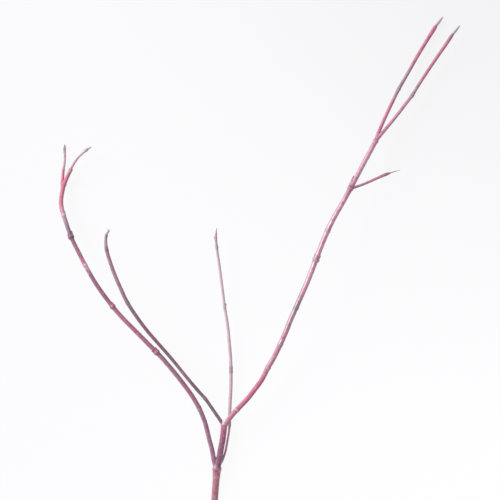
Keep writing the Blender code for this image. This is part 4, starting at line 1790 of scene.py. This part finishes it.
@dataclass
class SubAssembly:
    """A part of the branch that is built and dressed together.

    Attributes:
        finishes: The shared materials.
    """

    finishes: Finishes

    def place(self, mesh: bpy.types.Mesh, material: bpy.types.Material, slot: str = "",
              node: str = "") -> bpy.types.Object:
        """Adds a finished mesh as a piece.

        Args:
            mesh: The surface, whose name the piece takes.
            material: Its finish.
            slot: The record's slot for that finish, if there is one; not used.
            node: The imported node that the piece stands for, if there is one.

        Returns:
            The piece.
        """
        piece = bpy.data.objects.new(mesh.name, mesh)
        bpy.context.scene.collection.objects.link(piece)
        mesh.materials.append(material)
        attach(piece, BODY)
        if node:
            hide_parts(node)
        LOG.info("%s: %d faces, for %s", piece.name, len(mesh.polygons), node or "no node")
        return piece

    def place_bark(self, mesh: bpy.types.Mesh, node: str) -> bpy.types.Object:
        """Adds a piece with the plain bark finish."""
        return self.place(mesh, self.finishes.bark, "bark", node)

    def place_shoot(self, shoot: Shoot, node: str, stub: float) -> bpy.types.Object:
        """Adds a plain shoot from its parent's stub to its end."""
        return self.place_bark(tube_mesh(f"{node}_bark", Growth(shoot), stub - JOINT_OVERLAP), node)

    def place_bud(self, bud: EndBud, shoot: Shoot, node: str) -> bpy.types.Object:
        """Adds the bud that ends a shoot.

        Args:
            bud: Its shape.
            shoot: The shoot that it ends.
            node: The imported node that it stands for.

        Returns:
            The piece.
        """
        growth = BudGrowth(bud, Growth(shoot))
        name = f"{node}_scales"
        if not bud.prongs:
            mesh = tube_mesh(name, growth, ring_step=FINE_GRAIN, blunt=1.0)
            return self.place(mesh, self.finishes.bud_scale, "bud_scale", node)
        stop = growth.line.length
        tip = growth.line.at(np.array([stop]))[0]
        middle = growth.line.at(np.array([stop / 2]))[0]
        forms: list[Stretch | Knuckle] = [Stretch(growth, 0.0, stop, End.ROUND)]
        for index, prong in enumerate(bud.prongs):
            scale = Growth(Shoot(
                route=(tuple(middle), tuple(tip), tuple(tip + np.array(prong))),
                diameters=PRONG_DIAMETERS,
                tints=((0.0, bud.middle), (1.0, bud.middle), (2.0, bud.tip)),
                seed=growth.seed + index + 1,
            ))
            forms.append(Stretch(scale, 0.0, scale.line.length, End.ROUND))
        mesh = Skin(forms, grain=FINE_GRAIN, blend=PRONG_BLEND).mesh(name)
        return self.place(mesh, self.finishes.bud_scale, "bud_scale", node)


def stub(shoot: Shoot, length: float) -> Stretch:
    """The first part of a shoot, which stays on the piece that it grows from."""
    return Stretch(Growth(shoot), 0.0, length, sink=JOINT_SINK)


def limb(shoot: Shoot, parent_stub: float) -> Stretch:
    """The rest of a shoot, from just inside its parent's stub to its end."""
    growth = Growth(shoot)
    return Stretch(growth, parent_stub - JOINT_OVERLAP, growth.line.length)


@dataclass
class Stem(SubAssembly):
    """The cut stem, with the first fork, its upper part and the second fork.

    Attributes:
        lower: The stem below the first fork.
        upper: The stem between the forks.
        first_fork_width: Width of the swelling at the first fork.
        second_fork_width: Width of the swelling at the second fork.
    """

    lower: Shoot = LOWER_STEM
    upper: Shoot = UPPER_STEM
    first_fork_width: float = 7.4
    second_fork_width: float = 5.2

    def build(self) -> None:
        """Builds both pieces of the stem."""
        self.build_lower()
        self.build_upper()

    def build_lower(self) -> None:
        """Builds the lower stem with the stubs of the three shoots that leave it."""
        growth = Growth(self.lower)
        forms = [
            Stretch(growth, 0.0, growth.line.length),
            stub(self.upper, LIMB_STUB),
            stub(LEFT_LIMB, LIMB_STUB),
            stub(UPRIGHT_SHOOT, UPRIGHT_STUB),
            Knuckle(np.array(self.upper.route[0]), self.first_fork_width),
        ]
        self.place_bark(Skin(forms).mesh("lower_stem_bark"), "lower_stem")

    def build_upper(self) -> None:
        """Builds the upper stem with the stubs of its two shoots and the dry stump."""
        dead = Growth(DEAD_TIP)
        forms = [
            limb(self.upper, LIMB_STUB),
            stub(INNER_LEFT_SHOOT, SECOND_FORK_STUB),
            stub(RIGHT_LIMB, SECOND_FORK_STUB),
            Stretch(dead, 0.0, dead.line.length),
            Knuckle(np.array(self.upper.route[-1]), self.second_fork_width),
        ]
        self.place_bark(Skin(forms).mesh("upper_stem_bark"), "upper_stem")


@dataclass
class CutFace(SubAssembly):
    """The cut wood at the stem's foot.

    Attributes:
        stem: The stem that is cut.
        rings: Rings of corners from its middle to its edge.
        sides: Corners in each ring.
        hub: Share of the width at which the first ring lies.
        bark_thickness: Thickness of the bark round the wood.
        wood: Colour of the wood.
        pith: Colour of the pith.
        pith_width: Its width.
        pith_blur: Half the width over which it runs into the wood.
        year_ring: Colour of the one year's ring.
        year_ring_width: The ring's own width.
        year_ring_reach: Half the thickness of its line.
        year_ring_strength: How much of its colour shows.
        inner_bark: Colour of the green line under the bark.
        inner_bark_span: Distances from the edge between which that green comes in.
        proud: How far the blade leaves the wood standing out, on the whole.
        waviness: How far it stands out more or less than that.
        wave: Turns of that wave for each millimetre, in radians.
        wave_start: Where the wave starts, in radians.
        rim_drop: How far the wood draws back at its edge.
        rim_start: Share of the width where it starts to.
        grain_slant: How far the blade's lines run aslant.
    """

    stem: Shoot = LOWER_STEM
    rings: int = 20
    sides: int = 64
    hub: float = 0.03
    bark_thickness: float = 0.32
    wood: str = "D9C7A0"
    pith: str = "9C7A58"
    pith_width: float = 1.1
    pith_blur: float = 0.1
    year_ring: str = "B89A6C"
    year_ring_width: float = 3.0
    year_ring_reach: float = 0.12
    year_ring_strength: float = 0.7
    inner_bark: str = "8FA05C"
    inner_bark_span: Span = (0.22, 0.05)
    proud: float = 0.05
    waviness: float = 0.05
    wave: float = 2.1
    wave_start: float = 1.0
    rim_drop: float = 0.04
    rim_start: float = 0.9
    grain_slant: float = 0.3

    def build(self) -> None:
        """Builds the disc of wood."""
        growth = Growth(self.stem)
        start = np.zeros(1)
        heading, level, upward = (side[0] for side in growth.line.sides(start))
        turns = np.tile(np.arange(self.sides) * math.tau / self.sides, self.rings)
        edge = growth.bark(np.zeros(len(turns)), turns).radius - self.bark_thickness
        share = np.repeat(np.linspace(self.hub, 1.0, self.rings), self.sides)
        reach = share * edge
        out = np.cos(turns)[:, None] * level + np.sin(turns)[:, None] * upward
        across, height = reach * np.cos(turns), reach * np.sin(turns)
        # The blade leaves the wood a little proud and torn at one side.
        proud = self.proud + self.waviness * np.sin(self.wave * height + self.wave_start)
        proud = proud - self.rim_drop * smooth_step(share, self.rim_start, 1.0)
        places = growth.line.at(start) + out * reach[:, None] - heading * proud[:, None]
        grain = np.stack([across, height, self.grain_slant * height], 1)
        faces = [tuple(reversed(sheet)) for sheet in tube_faces(self.rings, self.sides)[:-1]]
        tint = self.colour(reach, edge)
        mesh = finished_mesh("lower_stem_cut_wood", places, faces, tint, np.zeros(len(turns)), grain)
        self.place(mesh, self.finishes.cut_wood)

    def colour(self, reach: np.ndarray, edge: np.ndarray) -> np.ndarray:
        """Colours the wood from its pith to the line under the bark.

        Args:
            reach: Distance of each place from the middle.
            edge: Distance of the wood's edge from the middle, the same way.

        Returns:
            Linear colours.
        """
        pith_edge = self.pith_width / 2
        pith = 1 - smooth_step(reach, pith_edge - self.pith_blur, pith_edge + self.pith_blur)
        ring = bell(reach - self.year_ring_width / 2, self.year_ring_reach)
        green = smooth_step(edge - reach, *self.inner_bark_span)
        tint = np.tile(np.array(linear(self.wood)), (len(reach), 1))
        tint = mixed(tint, np.array(linear(self.pith)), pith)
        tint = mixed(tint, np.array(linear(self.year_ring)), self.year_ring_strength * ring)
        return mixed(tint, np.array(linear(self.inner_bark)), green)


@dataclass
class LeftLimb(SubAssembly):
    """The long bowed limb on the left, with the twig and the spur at its end.

    Attributes:
        main: The limb.
        twig: The straight twig.
        spur: The curved one beside it.
        fork_width: Width of the swelling where they part.
    """

    main: Shoot = LEFT_LIMB
    twig: Shoot = LEFT_TWIG
    spur: Shoot = LEFT_SPUR
    fork_width: float = 3.8

    def build(self) -> None:
        """Builds the limb, its two twigs and their buds."""
        forms = [
            limb(self.main, LIMB_STUB),
            stub(self.twig, LEFT_TWIG_STUB),
            stub(self.spur, LEFT_FORK_STUB),
            Knuckle(np.array(self.main.route[-1]), self.fork_width),
        ]
        self.place_bark(Skin(forms).mesh("left_limb_bark"), "left_limb")
        self.place_shoot(self.twig, "left_twig", LEFT_TWIG_STUB)
        self.place_shoot(self.spur, "left_spur", LEFT_FORK_STUB)
        self.place_bud(LEFT_TWIG_BUD, self.twig, "bud_left_twig")
        self.place_bud(LEFT_SPUR_BUD, self.spur, "bud_left_spur")


@dataclass
class MiddleShoots(SubAssembly):
    """The two thin shoots that stand between the limbs.

    Attributes:
        inner_left: The greyish one, beside the left limb.
        upright: The pale one, in the middle.
    """

    inner_left: Shoot = INNER_LEFT_SHOOT
    upright: Shoot = UPRIGHT_SHOOT

    def build(self) -> None:
        """Builds both shoots and their buds."""
        self.place_shoot(self.inner_left, "inner_left_shoot", SECOND_FORK_STUB)
        self.place_bud(INNER_LEFT_BUD, self.inner_left, "bud_inner_left_shoot")
        mesh = tube_mesh("upright_shoot_bark", Growth(self.upright), UPRIGHT_STUB - JOINT_OVERLAP)
        self.place(mesh, self.finishes.young_bark, "young_bark", "upright_shoot")
        self.place_bud(UPRIGHT_BUD, self.upright, "bud_upright_shoot")


@dataclass
class RightLimb(SubAssembly):
    """The long limb on the right, with the side twig and the two shoots at its tip.

    Attributes:
        main: The limb.
        side_twig: The twig that leaves it sideways.
        tip_left: The left shoot of the tip fork.
        tip_right: The right one.
        fork_width: Width of the swelling at the tip fork.
    """

    main: Shoot = RIGHT_LIMB
    side_twig: Shoot = SIDE_TWIG
    tip_left: Shoot = TIP_SHOOT_LEFT
    tip_right: Shoot = TIP_SHOOT_RIGHT
    fork_width: float = 4.6

    def build(self) -> None:
        """Builds the limb, its three shoots and their buds."""
        long_bud = Growth(LONG_BUD)
        forms = [
            limb(self.main, SECOND_FORK_STUB),
            stub(self.tip_left, TIP_FORK_STUB),
            stub(self.tip_right, TIP_FORK_STUB),
            stub(self.side_twig, SIDE_TWIG_STUB),
            Stretch(long_bud, 0.0, long_bud.line.length, End.ROUND),
            Knuckle(np.array(self.main.route[-1]), self.fork_width),
        ]
        self.place_bark(Skin(forms).mesh("right_limb_bark"), "right_limb")
        self.place_shoot(self.side_twig, "side_twig", SIDE_TWIG_STUB)
        self.place_shoot(self.tip_left, "tip_shoot_left", TIP_FORK_STUB)
        self.place_shoot(self.tip_right, "tip_shoot_right", TIP_FORK_STUB)
        self.place_bud(SIDE_TWIG_BUD, self.side_twig, "bud_side_twig")
        self.place_bud(TIP_LEFT_BUD, self.tip_left, "bud_tip_shoot_left")
        self.place_bud(TIP_RIGHT_BUD, self.tip_right, "bud_tip_shoot_right")


@dataclass
class Studio:
    """The white surface, the soft lights and the camera over the branch.

    Attributes:
        pixel_mm: Size on the surface of one pixel of the picture.
        pixels: Width of the square picture in pixels.
        cut_row: Row of the picture that the cut end lies on, just below its edge.
        cut_column: Column that the branch's own X axis starts from.
        lens_mm: Focal length, long so that heights hardly shift sideways.
        sensor_mm: Width of the sensor.
        floor_mm: Side of the white surface.
        floor_drop_mm: How far below the branch the surface lies.
        floor_finish: Its finish.
        room_colour: Colour of the room's own light.
        room_strength: Strength of that light.
        lamp_size: Width and height of the soft lamp, in metres.
        lamp_power: Its power in watts.
        lamp_place: Where it hangs, in metres.
    """

    pixel_mm: float = 0.8
    pixels: int = 500
    cut_row: float = 510.0
    cut_column: float = 215.2
    lens_mm: float = 400.0
    sensor_mm: float = 36.0
    floor_mm: float = 12000.0
    floor_drop_mm: float = 0.05
    floor_finish: FloorFinish = FloorFinish()
    room_colour: str = "F4F4F8"
    room_strength: float = 0.62
    lamp_size: tuple[float, float] = (0.7, 1.0)
    lamp_power: float = 33.0
    lamp_place: Point = (-1.35, 0.78, 0.9)

    def build(self) -> None:
        """Sets up the whole studio."""
        self.build_camera()
        self.build_floor()
        self.build_lights()
        bpy.context.scene.view_settings.view_transform = "Standard"

    def centre(self) -> np.ndarray:
        """The point of the surface in the middle of the picture, in metres."""
        middle = self.pixels / 2
        across = (middle - self.cut_column) * self.pixel_mm
        ahead = (self.cut_row - middle) * self.pixel_mm
        return np.array([across * MM + HOME[0], ahead * MM + HOME[1], 0.0])

    def build_camera(self) -> None:
        """Puts the camera straight above, with the top of the picture to +Y."""
        data = bpy.data.cameras.new("camera")
        data.lens = self.lens_mm
        data.sensor_width = self.sensor_mm
        camera = bpy.data.objects.new("camera", data)
        height = self.pixels * self.pixel_mm * MM * self.lens_mm / self.sensor_mm
        camera.location = self.centre() + np.array([0.0, 0.0, height])
        bpy.context.scene.collection.objects.link(camera)
        bpy.context.scene.camera = camera

    def build_floor(self) -> None:
        """Lays the white surface."""
        half = self.floor_mm / 2 * MM
        mesh = bpy.data.meshes.new("floor")
        corners = [(-half, -half, 0.0), (half, -half, 0.0), (half, half, 0.0), (-half, half, 0.0)]
        mesh.from_pydata(corners, [], [(0, 1, 2, 3)])
        mesh.materials.append(self.floor_finish.make())
        floor = bpy.data.objects.new("floor", mesh)
        floor.location = self.centre() - np.array([0.0, 0.0, self.floor_drop_mm * MM])
        bpy.context.scene.collection.objects.link(floor)

    def build_lights(self) -> None:
        """Hangs one wide soft light on the left and fills the room with pale light."""
        world = bpy.data.worlds.new("pale_room")
        world.use_nodes = True
        backdrop = world.node_tree.nodes["Background"]
        backdrop.inputs["Color"].default_value = linear(self.room_colour)
        backdrop.inputs["Strength"].default_value = self.room_strength
        bpy.context.scene.world = world
        data = bpy.data.lights.new("window_light", "AREA")
        data.shape = "RECTANGLE"
        data.size, data.size_y = self.lamp_size
        data.energy = self.lamp_power
        light = bpy.data.objects.new("window_light", data)
        light.location = self.lamp_place
        light.rotation_mode = "QUATERNION"
        light.rotation_quaternion = (-Vector(light.location)).to_track_quat("-Z", "Y")
        bpy.context.scene.collection.objects.link(light)


def main() -> None:
    """Builds the branch and the studio around it."""
    logging.basicConfig(level=logging.INFO, format="%(message)s")
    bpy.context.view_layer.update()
    Studio().build()
    finishes = Finishes()
    for kind in (Stem, CutFace, LeftLimb, MiddleShoots, RightLimb):
        kind(finishes).build()
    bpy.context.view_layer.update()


if __name__ == "__main__":
    main()
